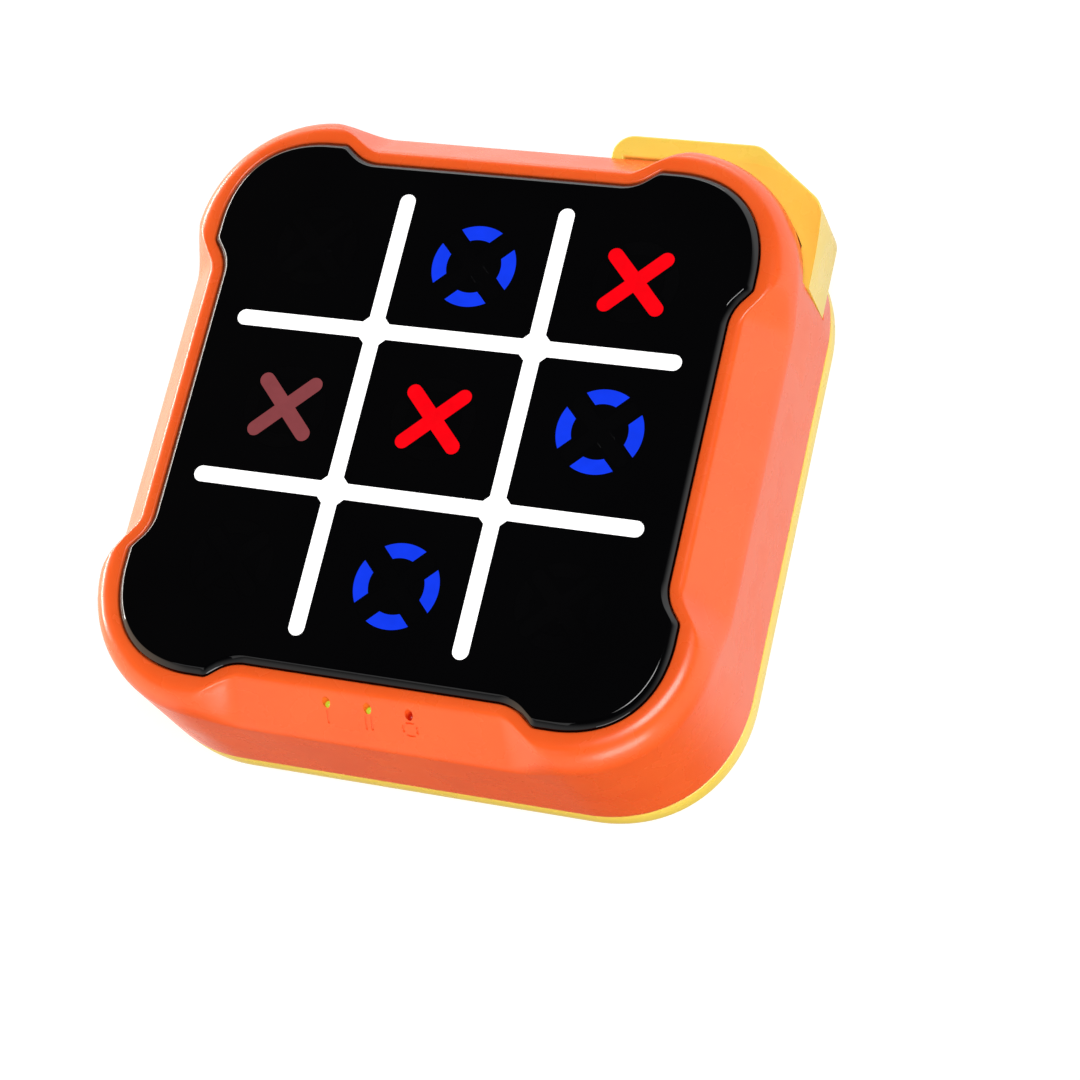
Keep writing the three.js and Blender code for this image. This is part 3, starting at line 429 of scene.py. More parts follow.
def colour(hex_code):
    """An sRGB hex colour as linear red, green, blue and alpha."""
    srgb = np.array([int(hex_code[i:i + 2], 16) for i in (1, 3, 5)]) / 255
    linear = np.where(srgb <= 0.04045, srgb / 12.92, ((srgb + 0.055) / 1.055) ** 2.4)
    return (*linear.tolist(), 1.0)


def node(tree, kind, inputs=None, **settings):
    """Adds a node with its settings, and fills its inputs with values or with links."""
    made = tree.nodes.new(kind)
    for key, value in settings.items():
        setattr(made, key, value)
    for key, value in (inputs or {}).items():
        if isinstance(value, bpy.types.NodeSocket):
            tree.links.new(value, made.inputs[key])
        else:
            made.inputs[key].default_value = value
    return made


def start_material(name):
    """A new material with its node tree, its shader and the Object coordinates."""
    material = bpy.data.materials.new(name)
    material.use_nodes = True
    tree = material.node_tree
    shader = tree.nodes["Principled BSDF"]
    place = node(tree, "ShaderNodeTexCoord").outputs["Object"]
    return material, tree, shader, place


def mottled(tree, place, grain, low, high, detail=3.0):
    """A soft cloudy value between low and high, with clouds of a given size in millimetres."""
    noise = {"Vector": place, "Scale": 1 / (grain * MM), "Detail": detail}
    cloud = node(tree, "ShaderNodeTexNoise", noise).outputs["Fac"]
    span = {"Value": cloud, "From Min": 0.3, "From Max": 0.7, "To Min": low, "To Max": high}
    return node(tree, "ShaderNodeMapRange", span).outputs["Result"]


def two_tone(tree, place, grain, first, second):
    """A colour that wanders between two close ones, with clouds of a given size in millimetres."""
    share = mottled(tree, place, grain, 0.0, 1.0)
    mix = node(tree, "ShaderNodeMix", {"Factor": share}, data_type="RGBA")
    mix.inputs["A"].default_value = colour(first)
    mix.inputs["B"].default_value = colour(second)
    return mix.outputs["Result"]


def relief(tree, place, grain, height, strength):
    """A bump from a fine grain: its size and its height in millimetres."""
    noise = {"Vector": place, "Scale": 1 / (grain * MM), "Detail": 4.0}
    cloud = node(tree, "ShaderNodeTexNoise", noise).outputs["Fac"]
    bump = {"Height": cloud, "Distance": height * MM, "Strength": strength}
    return node(tree, "ShaderNodeBump", bump).outputs["Normal"]


print(f"mid grey #808080 is {colour('#808080')[0]:.3f} in linear light")

# %% Moulded plastics


def moulded_abs(name, first, second, rough=(0.22, 0.32), soft=0.08, scatter=(0.6, 0.2, 0.05)):
    """ABS from a spark-eroded mould: satin, faintly cloudy, with light that sinks in a little."""
    material, tree, shader, place = start_material(name)
    tree.links.new(two_tone(tree, place, 9, first, second), shader.inputs["Base Color"])
    tree.links.new(mottled(tree, place, 4, *rough), shader.inputs["Roughness"])
    tree.links.new(relief(tree, place, 0.28, 0.006, 0.15), shader.inputs["Normal"])
    shader.inputs["IOR"].default_value = 1.53
    shader.inputs["Subsurface Weight"].default_value = soft
    shader.inputs["Subsurface Radius"].default_value = scatter
    shader.inputs["Subsurface Scale"].default_value = 1.2 * MM
    return material


orange_abs = moulded_abs("abs_orange_satin", "#FA6426", "#F75E22")
yellow_abs = moulded_abs("abs_yellow_satin", "#FBDA5E", "#F9D656", scatter=(0.7, 0.5, 0.1))
white_abs = moulded_abs("abs_white_reflector", "#F4F4F0", "#ECECE8", (0.4, 0.5), 0.15, (0.6, 0.6, 0.6))
black_nylon = moulded_abs("nylon_black_moulded", "#1A1A1C", "#131315", (0.42, 0.55), 0.0)
print(f"{len(bpy.data.materials)} materials so far")

# %% Polished acrylic and lit windows


def polished_acrylic(name, tint, rough):
    """Cast acrylic, polished: deep colour, hairline scratches that only show as a change of gloss."""
    material, tree, shader, place = start_material(name)
    stretch = {"Vector": place, "Rotation": (0, 0, 0.6), "Scale": (1, 0.04, 1)}
    stretched = node(tree, "ShaderNodeMapping", stretch)
    hairs = mottled(tree, stretched.outputs["Vector"], 0.5, *rough, detail=6.0)
    tree.links.new(hairs, shader.inputs["Roughness"])
    tree.links.new(two_tone(tree, place, 14, tint, "#020203"), shader.inputs["Base Color"])
    shader.inputs["IOR"].default_value = 1.49
    return material


black_acrylic = polished_acrylic("acrylic_black_polished", "#030304", (0.03, 0.07))
smoked_acrylic = polished_acrylic("acrylic_smoked_window", "#040405", (0.05, 0.09))


def lit_window(name, glow, strength, body, deep="#050505"):
    """A clear window over a diffuser: the lamp below lights it with a slightly uneven glow."""
    material, tree, shader, place = start_material(name)
    even = mottled(tree, place, 1.6, 0.93 * strength, 1.03 * strength)
    tree.links.new(even, shader.inputs["Emission Strength"])
    shader.inputs["Emission Color"].default_value = colour(glow)
    tree.links.new(two_tone(tree, place, 5, body, deep), shader.inputs["Base Color"])
    tree.links.new(mottled(tree, place, 0.6, 0.12, 0.2), shader.inputs["Roughness"])
    shader.inputs["IOR"].default_value = 1.49
    return material


red_lit = lit_window("window_lit_red", "#FF0010", 1.0, "#200002")
red_dim = lit_window("window_lit_dim_red", "#8A4246", 1.0, "#100506")
blue_lit = lit_window("window_lit_blue", "#103CF5", 1.0, "#020310")
# The grid is a white inlay with no lamp under it; this glow is painted light that keeps its lines pure white.
white_print_painted_glow = lit_window("inlay_white_painted_glow", "#FFFFFF", 0.75, "#E8E8E8", "#E0E0E0")
lens_green = lit_window("light_pipe_lit_yellow_green", "#C8D232", 0.95, "#30320C")
lens_red = lit_window("light_pipe_lit_red", "#C01400", 0.9, "#300400")
print(f"{len(bpy.data.materials)} materials so far")

# %% Metals and the finishes inside


def plated(name, first, second, rough, brushed=1.0):
    """Plated metal: a thin bright layer over steel, with a faint brushing along one way."""
    material, tree, shader, place = start_material(name)
    mapping = node(tree, "ShaderNodeMapping", {"Vector": place, "Scale": (1, brushed, 1)})
    along = mapping.outputs["Vector"]
    tree.links.new(mottled(tree, along, 0.12, *rough, detail=5.0), shader.inputs["Roughness"])
    tree.links.new(two_tone(tree, place, 1.2, first, second), shader.inputs["Base Color"])
    tree.links.new(relief(tree, along, 0.1, 0.004, 0.4), shader.inputs["Normal"])
    shader.inputs["Metallic"].default_value = 1.0
    return material


zinc_steel = plated("steel_zinc_plated", "#C6C8CA", "#A9ADB1", (0.24, 0.4))
nickel_steel = plated("steel_nickel_plated_spring", "#D2CFC8", "#B9B6AE", (0.15, 0.28), 0.15)
turned_brass = plated("brass_turned", "#D8B25A", "#BF9442", (0.2, 0.36), 0.2)


def solder_mask(name):
    """Green solder mask over copper: tracks show as paler green lines about 0.4 mm wide."""
    material, tree, shader, place = start_material(name)
    tracks = node(tree, "ShaderNodeTexBrick", {
        "Vector": place, "Scale": 1 / (6 * MM), "Mortar Size": 0.05,
        "Color1": colour("#14592F"), "Color2": colour("#176335"), "Mortar": colour("#2E8A50"),
    })
    tree.links.new(tracks.outputs["Color"], shader.inputs["Base Color"])
    tree.links.new(mottled(tree, place, 2, 0.25, 0.4), shader.inputs["Roughness"])
    tree.links.new(relief(tree, place, 0.6, 0.02, 0.3), shader.inputs["Normal"])
    return material


def cell_sleeve(name, low, high):
    """A cell's printed sleeve: dark, with a copper-coloured band round one end."""
    material, tree, shader, place = start_material(name)
    height = node(tree, "ShaderNodeSeparateXYZ", {"Vector": place}).outputs["Y"]
    span = {"Value": height, "From Min": low * MM, "From Max": high * MM}
    share = node(tree, "ShaderNodeMapRange", span).outputs["Result"]
    bands = node(tree, "ShaderNodeValToRGB", {"Fac": share})
    ramp = bands.color_ramp
    ramp.interpolation = "CONSTANT"
    ramp.elements[0].color = colour("#B9BCC0")
    ramp.elements[1].position = 0.02
    ramp.elements[1].color = colour("#33404F")
    for position, shade in ((0.66, "#C9D2D6"), (0.68, "#B0713C"), (0.97, "#B9BCC0")):
        ramp.elements.new(position).color = colour(shade)
    tree.links.new(bands.outputs["Color"], shader.inputs["Base Color"])
    tree.links.new(mottled(tree, place, 3, 0.2, 0.32), shader.inputs["Roughness"])
    shader.inputs["Metallic"].default_value = 0.35
    return material


def vinyl(name, first, second):
    """Soft vinyl insulation: slightly shiny and faintly ribbed by the die."""
    return moulded_abs(name, first, second, (0.35, 0.5), 0.05)


green_mask = solder_mask("board_green_solder_mask")
red_vinyl = vinyl("vinyl_red_insulation", "#C3201C", "#B51C18")
black_vinyl = vinyl("vinyl_black_insulation", "#151515", "#0E0E0E")
sensor_film = polished_acrylic("film_clear_sensor", "#8F9AA0", (0.1, 0.2))
print(f"{len(bpy.data.materials)} materials so far")

# %% [markdown]
# ## The top case
#
# The orange shell is one moulding. Over each corner lobe its edge is an elliptical quarter round,
# and along each waist it is a 52 degree chamfer between two fillets. A tool maker blends the two
# sections along the scallop, and so does this surface: every ring is the lobe's section mixed
# with the waist's by a smooth step of the distance along the wall. The rings then go over the
# lip, down the opening, under the ledge and down the inside, and close on themselves.

# %% Section of the bezel
FLAT_FOOT = np.array([0.5, RIDGE + 0.3])
FLAT_HEAD = np.array([LOBE_INSET + 0.3, LIP - 0.45])
LEAN = math.atan2(*(FLAT_HEAD - FLAT_FOOT))
print(f"the waist's chamfer leans {math.degrees(LEAN):.1f} degrees in from the wall")


def lobe_section(v):
    """Quarter ellipse 2.8 mm across and 4 mm down, at a share v of its turn."""
    a = math.pi / 2 * v
    return 2.8 * (1 - math.cos(a)), LIP - 4.0 * (1 - math.sin(a))


def waist_section(v):
    """Fillet from the wall, straight chamfer, then fillet to the lip, each a share of v."""
    foot_radius = FLAT_FOOT[0] / (1 - math.cos(LEAN))
    head_radius = (LIP - FLAT_HEAD[1]) / (1 - math.sin(LEAN))
    if v < 0.4:
        a = LEAN * v / 0.4
        low = FLAT_FOOT[1] - foot_radius * math.sin(LEAN)
        return foot_radius * (1 - math.cos(a)), low + foot_radius * math.sin(a)
    if v < 0.7:
        return tuple(FLAT_FOOT + (FLAT_HEAD - FLAT_FOOT) * (v - 0.4) / 0.3)
    a = LEAN + (math.pi / 2 - LEAN) * (v - 0.7) / 0.3
    inset = FLAT_HEAD[0] + head_radius * (math.cos(LEAN) - math.cos(a))
    return inset, FLAT_HEAD[1] + head_radius * (math.sin(a) - math.sin(LEAN))


def bezel(v):
    """Ring where the lobe's and the waist's sections are mixed by the distance along the wall."""
    outward = 1 - v
    share = smooth(ALONG, WAIST_HALF + 1.5 * outward, LOBE_START + 4.5 * outward)
    lobe, waist = lobe_section(v), waist_section(v)
    return ring(*(waist[i] + (lobe[i] - waist[i]) * share for i in range(2)))


# %% Top case as rings
ROOF = 20.6
first = bezel(0)
foot = ring(seam(), SEAM)
wall_rings = [ring(seam(0.12), SEAM), ring(seam(0.03), SEAM + 0.04)]
wall_rings += [foot * (1 - t) + first * t + [0, 0, 0.12 * (1 - t)] for t in (0, 0.02, 0.5, 0.9, 0.97)]
turn = np.radians([0, 22.5, 45, 67.5, 90])
edge_rings = [ring(opening(-0.25 + 0.25 * math.sin(a)), LIP - 0.25 * (1 - math.cos(a))) for a in turn]
at_loop = (WALL_POINT[:, 0] > 30) & (WALL_POINT[:, 1] > 21) & (WALL_POINT[:, 1] < 31)
thick = np.where(at_loop, 5.1, WALL)
inner_rings = [
    ring(opening(), LEDGE), ring(8.2, LEDGE), ring(8.2, ROOF), ring(6.2, ROOF),
    ring(thick, RIDGE - WALL), ring(thick, 6.05), ring(WALL, 6.0), ring(WALL, SEAM),
]
shell_rings = wall_rings + [bezel(v) for v in np.linspace(0, 1, 31)] + edge_rings + inner_rings
case_shell = mesh_object("case_shell", tyre(shell_rings))
print(f"{len(shell_rings)} rings of {len(ALONG)} stations")

# %% [markdown]
# Inside are four bosses that the case screws bite into and four posts for the board. Outside, a
# seat is cut for the strap loop, and a pinhole for each status light. The small signs under the pinholes are engraved 0.15 mm deep, square to the chamfer.

# %% Tools for the loop seat, the signs and the marks
BOSS_AT = 29.2
POST = (31.8, 12.0)
FOUR = ((1, 1), (-1, 1), (-1, -1), (1, -1))
STATUS_X = (-5.0, 0.0, 5.0)
LOOP_RIGHT, LOOP_TOP, BEND, LOOP_THICK = 37.75, 40.4, (29.0, 33.8), 1.9


def loop_plan(grow=0.0):
    """Plan of the loop, widened for its seat: two feet, the top run, the cut corner and the leg.

    Inside it follows the wall's own arc, 0.08 mm outside it.
    """
    radius, right, deep = RADIUS + 0.08 - grow, LOOP_RIGHT - LOOP_THICK - grow, HALF - 3.6 - grow
    at_right = math.acos((right - CORNER) / radius)
    wall_arc = arc(CORNER, CORNER, radius, 90, math.degrees(at_right), 30)
    outer = rounded([
        [deep, 25.4 + grow, 0], [deep, 23.8 - grow, 0], [LOOP_RIGHT + grow, 23.8 - grow, 0],
        [LOOP_RIGHT + grow, BEND[1], 3], [BEND[0], LOOP_TOP, 3], [11.2 - grow, LOOP_TOP, 2.5],
        [11.2 - grow, deep, 0], [12.8 + grow, deep, 0], [12.8 + grow, CORNER + radius, 0],
    ])
    return np.concatenate([outer, wall_arc, [[right, 25.4 + grow]]])


def tilted(solid, x, along_slope):
    """A flat solid laid on the lower chamfer, its middle at x and a distance up the slope."""
    points, faces = solid
    up = np.array([0, math.sin(LEAN), math.cos(LEAN)])
    out = np.array([0, -math.cos(LEAN), math.sin(LEAN)])
    base = np.array([x, -HALF + FLAT_FOOT[0], FLAT_FOOT[1]])
    placed = base + np.outer(points[:, 0], [1, 0, 0]) + np.outer(points[:, 1] + along_slope, up)
    return placed + np.outer(points[:, 2], out), faces


def bar(reach, width, low, high, angle=0.0, x=0.0, y=0.0, soft=0.0):
    """Bar with round ends, turned by an angle in degrees."""
    end, radius = reach - width / 2, width / 2
    outline = np.concatenate([arc(end, 0, radius, -90, 90, 12), arc(-end, 0, radius, 90, 270, 12)])
    c, s = math.cos(math.radians(angle)), math.sin(math.radians(angle))
    outline = outline @ np.array([[c, s], [-s, c]]) + [x, y]
    return slab(outline, low, high, 0, soft, 2)


def ring_arc(outer, inner, gap, low, high, quarter, x=0.0, y=0.0, soft=0.0):
    """One of a ring's four arcs: its ends run parallel to the diagonals, half a gap away."""
    spread = [45 - math.degrees(math.asin(gap / 2 / radius)) for radius in (outer, inner)]
    middle = 90 * quarter
    out_arc = arc(x, y, outer, middle - spread[0], middle + spread[0], 24)
    in_arc = arc(x, y, inner, middle + spread[1], middle - spread[1], 24)
    return slab(np.concatenate([out_arc, in_arc]), low, high, 0, soft, 2)


print(f"the loop's plan has {len(loop_plan())} points")

# %% Bosses, loop seat, pinholes and engraved signs
SIGN_DEEP, SIGN_AT = 0.15, 2.85
signs = [tilted(bar(0.95, 0.26, -SIGN_DEEP, 0.4, 90), STATUS_X[0], SIGN_AT)]
signs += [tilted(bar(1.0, 0.26, -SIGN_DEEP, 0.4, 90, x), STATUS_X[1], SIGN_AT) for x in (-0.35, 0.35)]
signs += [tilted(ring_arc(1.03, 0.75, 0.4, -SIGN_DEEP, 0.4, q), STATUS_X[2], SIGN_AT) for q in range(4)]
bosses = [turned([[3.0, 6.1], [3.0, ROOF + 0.3]], sx * BOSS_AT, sy * BOSS_AT) for sx, sy in FOUR]
posts = [turned([[2.1, 16.8], [2.1, ROOF + 0.3]], sx * POST[0], sy * POST[1], 32) for sx, sy in FOUR]
combine(case_shell, bosses + posts, "UNION")
pilots = [turned([[1.2, 5], [1.2, 13.5]], sx * BOSS_AT, sy * BOSS_AT, 24) for sx, sy in FOUR]
pilots += [turned([[0.95, 15.8], [0.95, 20.2]], sx * POST[0], sy * POST[1], 24) for sx, sy in FOUR]
pinholes = [turned([[0.48, SEAM], [0.48, DEPTH]], x, -34, 32) for x in STATUS_X]
seat = slab(loop_plan(0.12), LOOP_LOW - 0.12, LOOP_HIGH + 0.12)
combine(case_shell, pilots + pinholes + [seat] + signs, "DIFFERENCE")
finish_piece(case_shell, orange_abs, "case", ["top_case"], 30)

# %% [markdown]
# ## The yellow pieces
#
# The back cover is a tray with a fence that locates it in the orange shell, a battery bay and
# four screw tubes. Rings give its rounded edge and its rim, and the rest is joined on or cut out,
# just as inserts in a mould would form it.

# %% Back cover
turn = np.radians(np.linspace(0, 90, 8))
EDGE, LUG_Y = 1.3, 30.6
cover_rings = [ring(seam(EDGE + 0.2), 0)]
cover_rings += [ring(seam(EDGE * (1 - math.sin(a))), EDGE * (1 - math.cos(a))) for a in turn]
cover_rings += [ring(seam(), SEAM - 0.42), ring(seam(0.03), SEAM - 0.34), ring(seam(0.12), SEAM - 0.3)]
cover_rings += [ring(2.3, SEAM - 0.3), ring(2.3, 5.8), ring(3.8, 5.8), ring(3.8, 2.0)]
cover = mesh_object("rear_cover", loft(cover_rings))
tower = [slab(block(-21, 21, -32.3, 29.9, 1), 0.5, 3.6)]
tower += [slab(block(-17.8, 17.8, -27, 27, 1), 1, 14.6, 0, 0.4)]
tower += [turned([[3.8, 0.5], [3.8, 7.6]], 0, LUG_Y)]
tower += [turned([[2.9, 0.5], [2.9, 5.8]], sx * BOSS_AT, sy * BOSS_AT) for sx, sy in FOUR]
combine(cover, tower, "UNION")
SWITCH = (-27.0, 6.0)


def on_switch(x, y, low, high, radius=0.4):
    """A block round the switch's middle, by its half width and half length."""
    return slab(block(SWITCH[0] - x, SWITCH[0] + x, SWITCH[1] - y, SWITCH[1] + y, radius), low, high)


print(f"cover before its holes: {len(cover.data.polygons)} faces")

# %% Battery bay, wells and holes in the back cover
holes = [slab(block(-16.4, 16.4, -25.6, 25.6, 0.6), -1, 13.2)]
holes += [slab(block(-19, 19, -29, 29, 1.8), -1, 1.6), turned([[3.7, -1], [3.7, 1.6]], 0, LUG_Y)]
holes += [slab(block(x - 2.9, x + 2.9, -30.8, -26.5), 1, 3.1) for x in (-10, 10)]
holes += [turned([[1.3, 0], [1.3, 2.2], [2.15, 2.2], [2.15, 6.6], [1.3, 6.6], [1.3, 8.6]], 0, LUG_Y)]
holes += [
    turned([[2.4, -1], [2.4, 2.55], [1.3, 2.55], [1.3, 9]], sx * BOSS_AT, sy * BOSS_AT) for sx, sy in FOUR
]
holes += [on_switch(1.2, 3.7, -1, 4.2), on_switch(2.6, 5.0, -1, 1.2, 0.8)]
holes += [slab(block(-18.8, -15.4, 19, 21.5), 9, 11), slab(block(15.4, 18.8, -21.5, -19), 9, 11)]
spots = [(0, 0)] + [(3 * math.cos(a), 3 * math.sin(a)) for a in np.radians(np.arange(0, 360, 60))]
holes += [turned([[0.6, -1], [0.6, 4.2]], 27 + x, -6 + y, 24) for x, y in spots]
combine(cover, holes, "DIFFERENCE")
finish_piece(cover, yellow_abs, "case", ["back_cover"], 30)

# %% [markdown]
# The strap loop is a bracket that drops into its seat before the case is closed. Its edges have
# the small rounding of any moulding that is held in a hand. It is one outline given a height, with
# a round tube carried along the corner to cut a shallow cove, and a slot and an eye for a cord.

# %% Strap loop
loop = mesh_object("loop_bracket", slab(loop_plan(), LOOP_LOW, LOOP_HIGH, 0.32, 0.32))
COVE_RADIUS, COVE_DEEP, COVE_AT = 6, 2.0, 15.2
bend = np.radians(np.linspace(0, 95, 60))
depth = COVE_DEEP * (1 - smooth(np.degrees(bend), 25, 88)) - 0.1
cove_path = np.column_stack([
    CORNER + COVE_AT * np.cos(bend), CORNER + COVE_AT * np.sin(bend), LOOP_HIGH + COVE_RADIUS - depth,
])
cord_way = [slab(block(17, 23, 37, 39, 0.3), 7, 14.5), slab(block(18.6, 21.4, 38, 42), 11.5, 14.5)]
combine(loop, [tube(cove_path, COVE_RADIUS, (0, 0, 1), 180), *cord_way], "DIFFERENCE")
finish_piece(loop, yellow_abs, "case", ["strap_loop"], 40)

# %% [markdown]
# ## The panel, the grid and the marks
#
# The panel is 2 mm black acrylic with a polished bevel. The grid lines are a white inlay set flush
# in its face, given a glow of painted light so that they stay pure white. The marks are windows set
# flush beside them: a cell shows a cross or a ring of four arcs when the lamp under it is lit, and an
# unlit window is smoked so dark that it can't be told from the panel. The pockets are the same
# outlines, 0.02 mm wider.

# %% Grid, crosses and rings
GRID_REACH, GRID_WIDTH, CROTCH = 27.45, 1.93, 0.7
CROSS_REACH, CROSS_WIDTH = 5.2, 1.8
RING_OUTER, RING_INNER, RING_GAP = 5.1, 3.35, 2.7
MARK_DEEP, POCKET_GAP = 0.8, 0.02
SHIFT = {
    "top_centre": (0.2, -0.7), "top_right": (0.1, -0.7), "middle_left": (1.4, -0.6),
    "middle_right": (0.0, 0.8), "bottom_centre": (0.6, -0.3),
}
ROWS, COLUMNS = {1: "top", 0: "middle", -1: "bottom"}, {-1: "left", 0: "centre", 1: "right"}
CELLS = []
for row, row_name in ROWS.items():
    for column, column_name in COLUMNS.items():
        name = f"{row_name}_{column_name}"
        dx, dy = SHIFT.get(name, (0, 0))
        CELLS.append((name, column * PITCH + dx, row * PITCH + dy))


def grid_solids(grow, low, high, soft=0.0):
    """Two by two bars with a small 45 degree crotch at each crossing."""
    at = PITCH / 2
    reach, width = GRID_REACH + grow, GRID_WIDTH + 2 * grow
    solids = [bar(reach, width, low, high, 0, 0, p, soft) for p in (-at, at)]
    solids += [bar(reach, width, low, high, 90, p, 0, soft) for p in (-at, at)]
    half = GRID_WIDTH + CROTCH + 2 * grow
    for sx, sy in FOUR:
        x, y = sx * at, sy * at
        outline = np.array([[x + half, y], [x, y + half], [x - half, y], [x, y - half]])
        solids.append(slab(outline, low, high, 0, soft, 2))
    return solids


def cross_solids(x, y, grow, low, high, soft=0.0):
    """Two bars with round ends, on the diagonals."""
    reach, width = CROSS_REACH + grow, CROSS_WIDTH + 2 * grow
    return [bar(reach, width, low, high, way, x, y, soft) for way in (45, -45)]


def web(x, y, grow, low, high):
    """The thin ring under the four arcs that carries them."""
    outer, inner = circle(x, y, RING_OUTER + grow, 96), circle(x, y, RING_INNER - grow, 96)
    levels = [(outer, low), (outer, high), (inner, high), (inner, low)]
    return tyre([np.column_stack([line, np.full(96, z)]) for line, z in levels])


def ring_solids(x, y, grow, high, soft=0.0):
    """Four arcs, and the web that they stand on."""
    low = DEPTH - 1.0 - grow
    sizes = (RING_OUTER + grow, RING_INNER - grow, RING_GAP - 2 * grow)
    arcs = [ring_arc(*sizes, low - 0.05, high, q, x, y, soft) for q in range(4)]
    return [*arcs, web(x, y, grow, low - 0.5, low + grow)]


def window(name, solids, material, slot, replaced):
    """A flush window joined from its solids."""
    piece = mesh_object(name, solids[0])
    combine(piece, solids[1:], "UNION")
    finish_piece(piece, material, "case", [replaced], 20)


low = DEPTH - MARK_DEEP
# The grid lines glow with painted light, so that they stay pure white.
window("grid_lines", grid_solids(0, low, DEPTH), white_print_painted_glow, "white_print", "grid_inlay")
RED, DIM, BLUE, DARK = (
    (red_lit, "red_lit"), (red_dim, "red_dim"), (blue_lit, "blue_lit"), (smoked_acrylic, "smoked_acrylic"),
)
CROSS_LOOK = {"top_right": RED, "middle_centre": RED, "middle_left": DIM}
RING_LOOK = {"top_centre": BLUE, "middle_right": BLUE, "bottom_centre": BLUE}
for name, x, y in CELLS:
    look = CROSS_LOOK.get(name, DARK)
    window(f"cross_{name}", cross_solids(x, y, 0, low, DEPTH), *look, f"x_mark_{name}")
    look = RING_LOOK.get(name, DARK)
    window(f"ring_{name}", ring_solids(x, y, 0, DEPTH), *look, f"o_mark_{name}")

# %% Panel with its pockets
BEVEL = [(0.15, 0.66), (0.165, 0.58), (0.22, 0.5), (0.80, 0.09), (0.88, 0.03), (0.98, 0.0), (1.05, 0.0)]
panel_rings = [ring(opening(0.15), LEDGE)] + [ring(opening(e), DEPTH - d) for e, d in BEVEL]
panel = mesh_object("panel", loft(panel_rings))
low, high = DEPTH - MARK_DEEP - 0.05, DEPTH + 1
pockets = grid_solids(POCKET_GAP, low, high)
for name, x, y in CELLS:
    pockets += cross_solids(x, y, POCKET_GAP, low, high) + ring_solids(x, y, POCKET_GAP, high)
combine(panel, pockets, "DIFFERENCE")
finish_piece(panel, black_acrylic, "case", ["front_panel"], 24)

# %% [markdown]
# Each status light is the domed end of a clear light pipe, a little below the pinhole's mouth. It
# is round, so a profile turned about its axis is all that it takes.

# %% Light pipes in the pinholes
LENS_TOP = FLAT_FOOT[1] + (3.5 - FLAT_FOOT[0]) / math.tan(LEAN) - 0.6
LENS_NAMES = ("status_lens_one_player", "status_lens_two_player", "status_lens_power")
for x, name in zip(STATUS_X, LENS_NAMES):
    dome = arc(0, LENS_TOP - 0.3, 0.3, 0, 80, 6) * [1.3, 1]
    pipe = mesh_object(f"pipe_{name[12:]}", turned([[0.39, 17.6], *dome.tolist()], x, -34, 24))
    look = (lens_red, "lens_red") if name.endswith("power") else (lens_green, "lens_green")
    finish_piece(pipe, look[0], "case", [name], 60)

# %% [markdown]
# ## The back: door, switch and screws
#
# The door hooks in by two tabs and is held by a captive screw in its lug, with finger grooves
# beside it. It is flat, so it is made of softened outlines, joined and cut.

# %% Battery door
door = mesh_object("battery_door_shell", slab(block(-18.7, 18.7, -28.7, 28.7, 1.5), 0, 1.5, 0.25, 0.1))
lug = slab(circle(0, LUG_Y, 3.4, 64), 0, 1.5, 0.25, 0.1)
tabs = [slab(block(x - 2.6, x + 2.6, -30, -27.8, 0.3), 1.4, 2.5, 0, 0.2) for x in (-10, 10)]
combine(door, [lug, *tabs], "UNION")
grooves = [bar(7, 1.0, -1, 0.4, 0, 0, 22.7 - 2.2 * i) for i in range(5)]
screw_hole = turned([[2.15, -1], [2.15, 1.1], [1.1, 1.1], [1.1, 5]], 0, LUG_Y)
combine(door, [*grooves, screw_hole], "DIFFERENCE")
finish_piece(door, yellow_abs, "battery_door", ["battery_door"], 30)

# %% [markdown]
# The screws have a domed head, a cross recess for a driver and a rolled thread. A turned profile
# with a fine zigzag stands for the thread: a true helix would cost many faces where nobody looks.

# %% Screws


def screw(name, node_name, body, head, shaft, low, high, tip, x, y):
    """Domed head with a cross recess, a shaft with a rolled thread of fine rings, and a point."""
    dome = softened([[0, low], [head * 0.75, low], [head, low + 0.45], [head, high], [shaft, high]], 0.12)
    pitch = shaft * 0.7
    turns = int((tip - 0.9 - high - 0.3) / pitch)
    thread = [[shaft * r, high + 0.3 + pitch * (i + t)] for i in range(turns) for r, t in ((0.8, 0), (1, 0.5))]
    profile = [*dome.tolist()[1:], *thread, [shaft * 0.8, tip - 0.9], [0.15, tip]]
    piece = mesh_object(name, turned([[0.3, low], *profile], x, y, 32))
    deep = low + 0.45 * (high - low)
    arm, slim = head * 0.6, head * 0.15
    recess = [block(x - a, x + a, y - b, y + b, 0.1, 3) for a, b in ((arm, slim), (slim, arm))]
    combine(piece, [slab(side, low - 1, deep) for side in recess], "DIFFERENCE")
    finish_piece(piece, zinc_steel, body, [node_name])


CORNERS = ("top_right", "top_left", "bottom_left", "bottom_right")
for (sx, sy), corner in zip(FOUR, CORNERS):
    place = (sx * BOSS_AT, sy * BOSS_AT)
    screw(f"screw_case_{corner}", f"case_screw_{corner}", "case", 2.1, 1.05, 0.9, 2.5, 12.5, *place)
    place = (sx * POST[0], sy * POST[1])
    screw(f"screw_board_{corner}", f"board_screw_{corner}", "case", 1.8, 0.8, 14.25, 15.55, 19.8, *place)
screw("screw_door", "door_screw", "door_screw", 1.9, 0.95, 0.3, 1.05, 5.6, 0, LUG_Y)

# %% [markdown]
# The switch knob is black nylon: a plate that slides in its recess, three ribs for a fingertip
# and a stalk that reaches the switch inside. Stacked outlines follow how it is moulded.

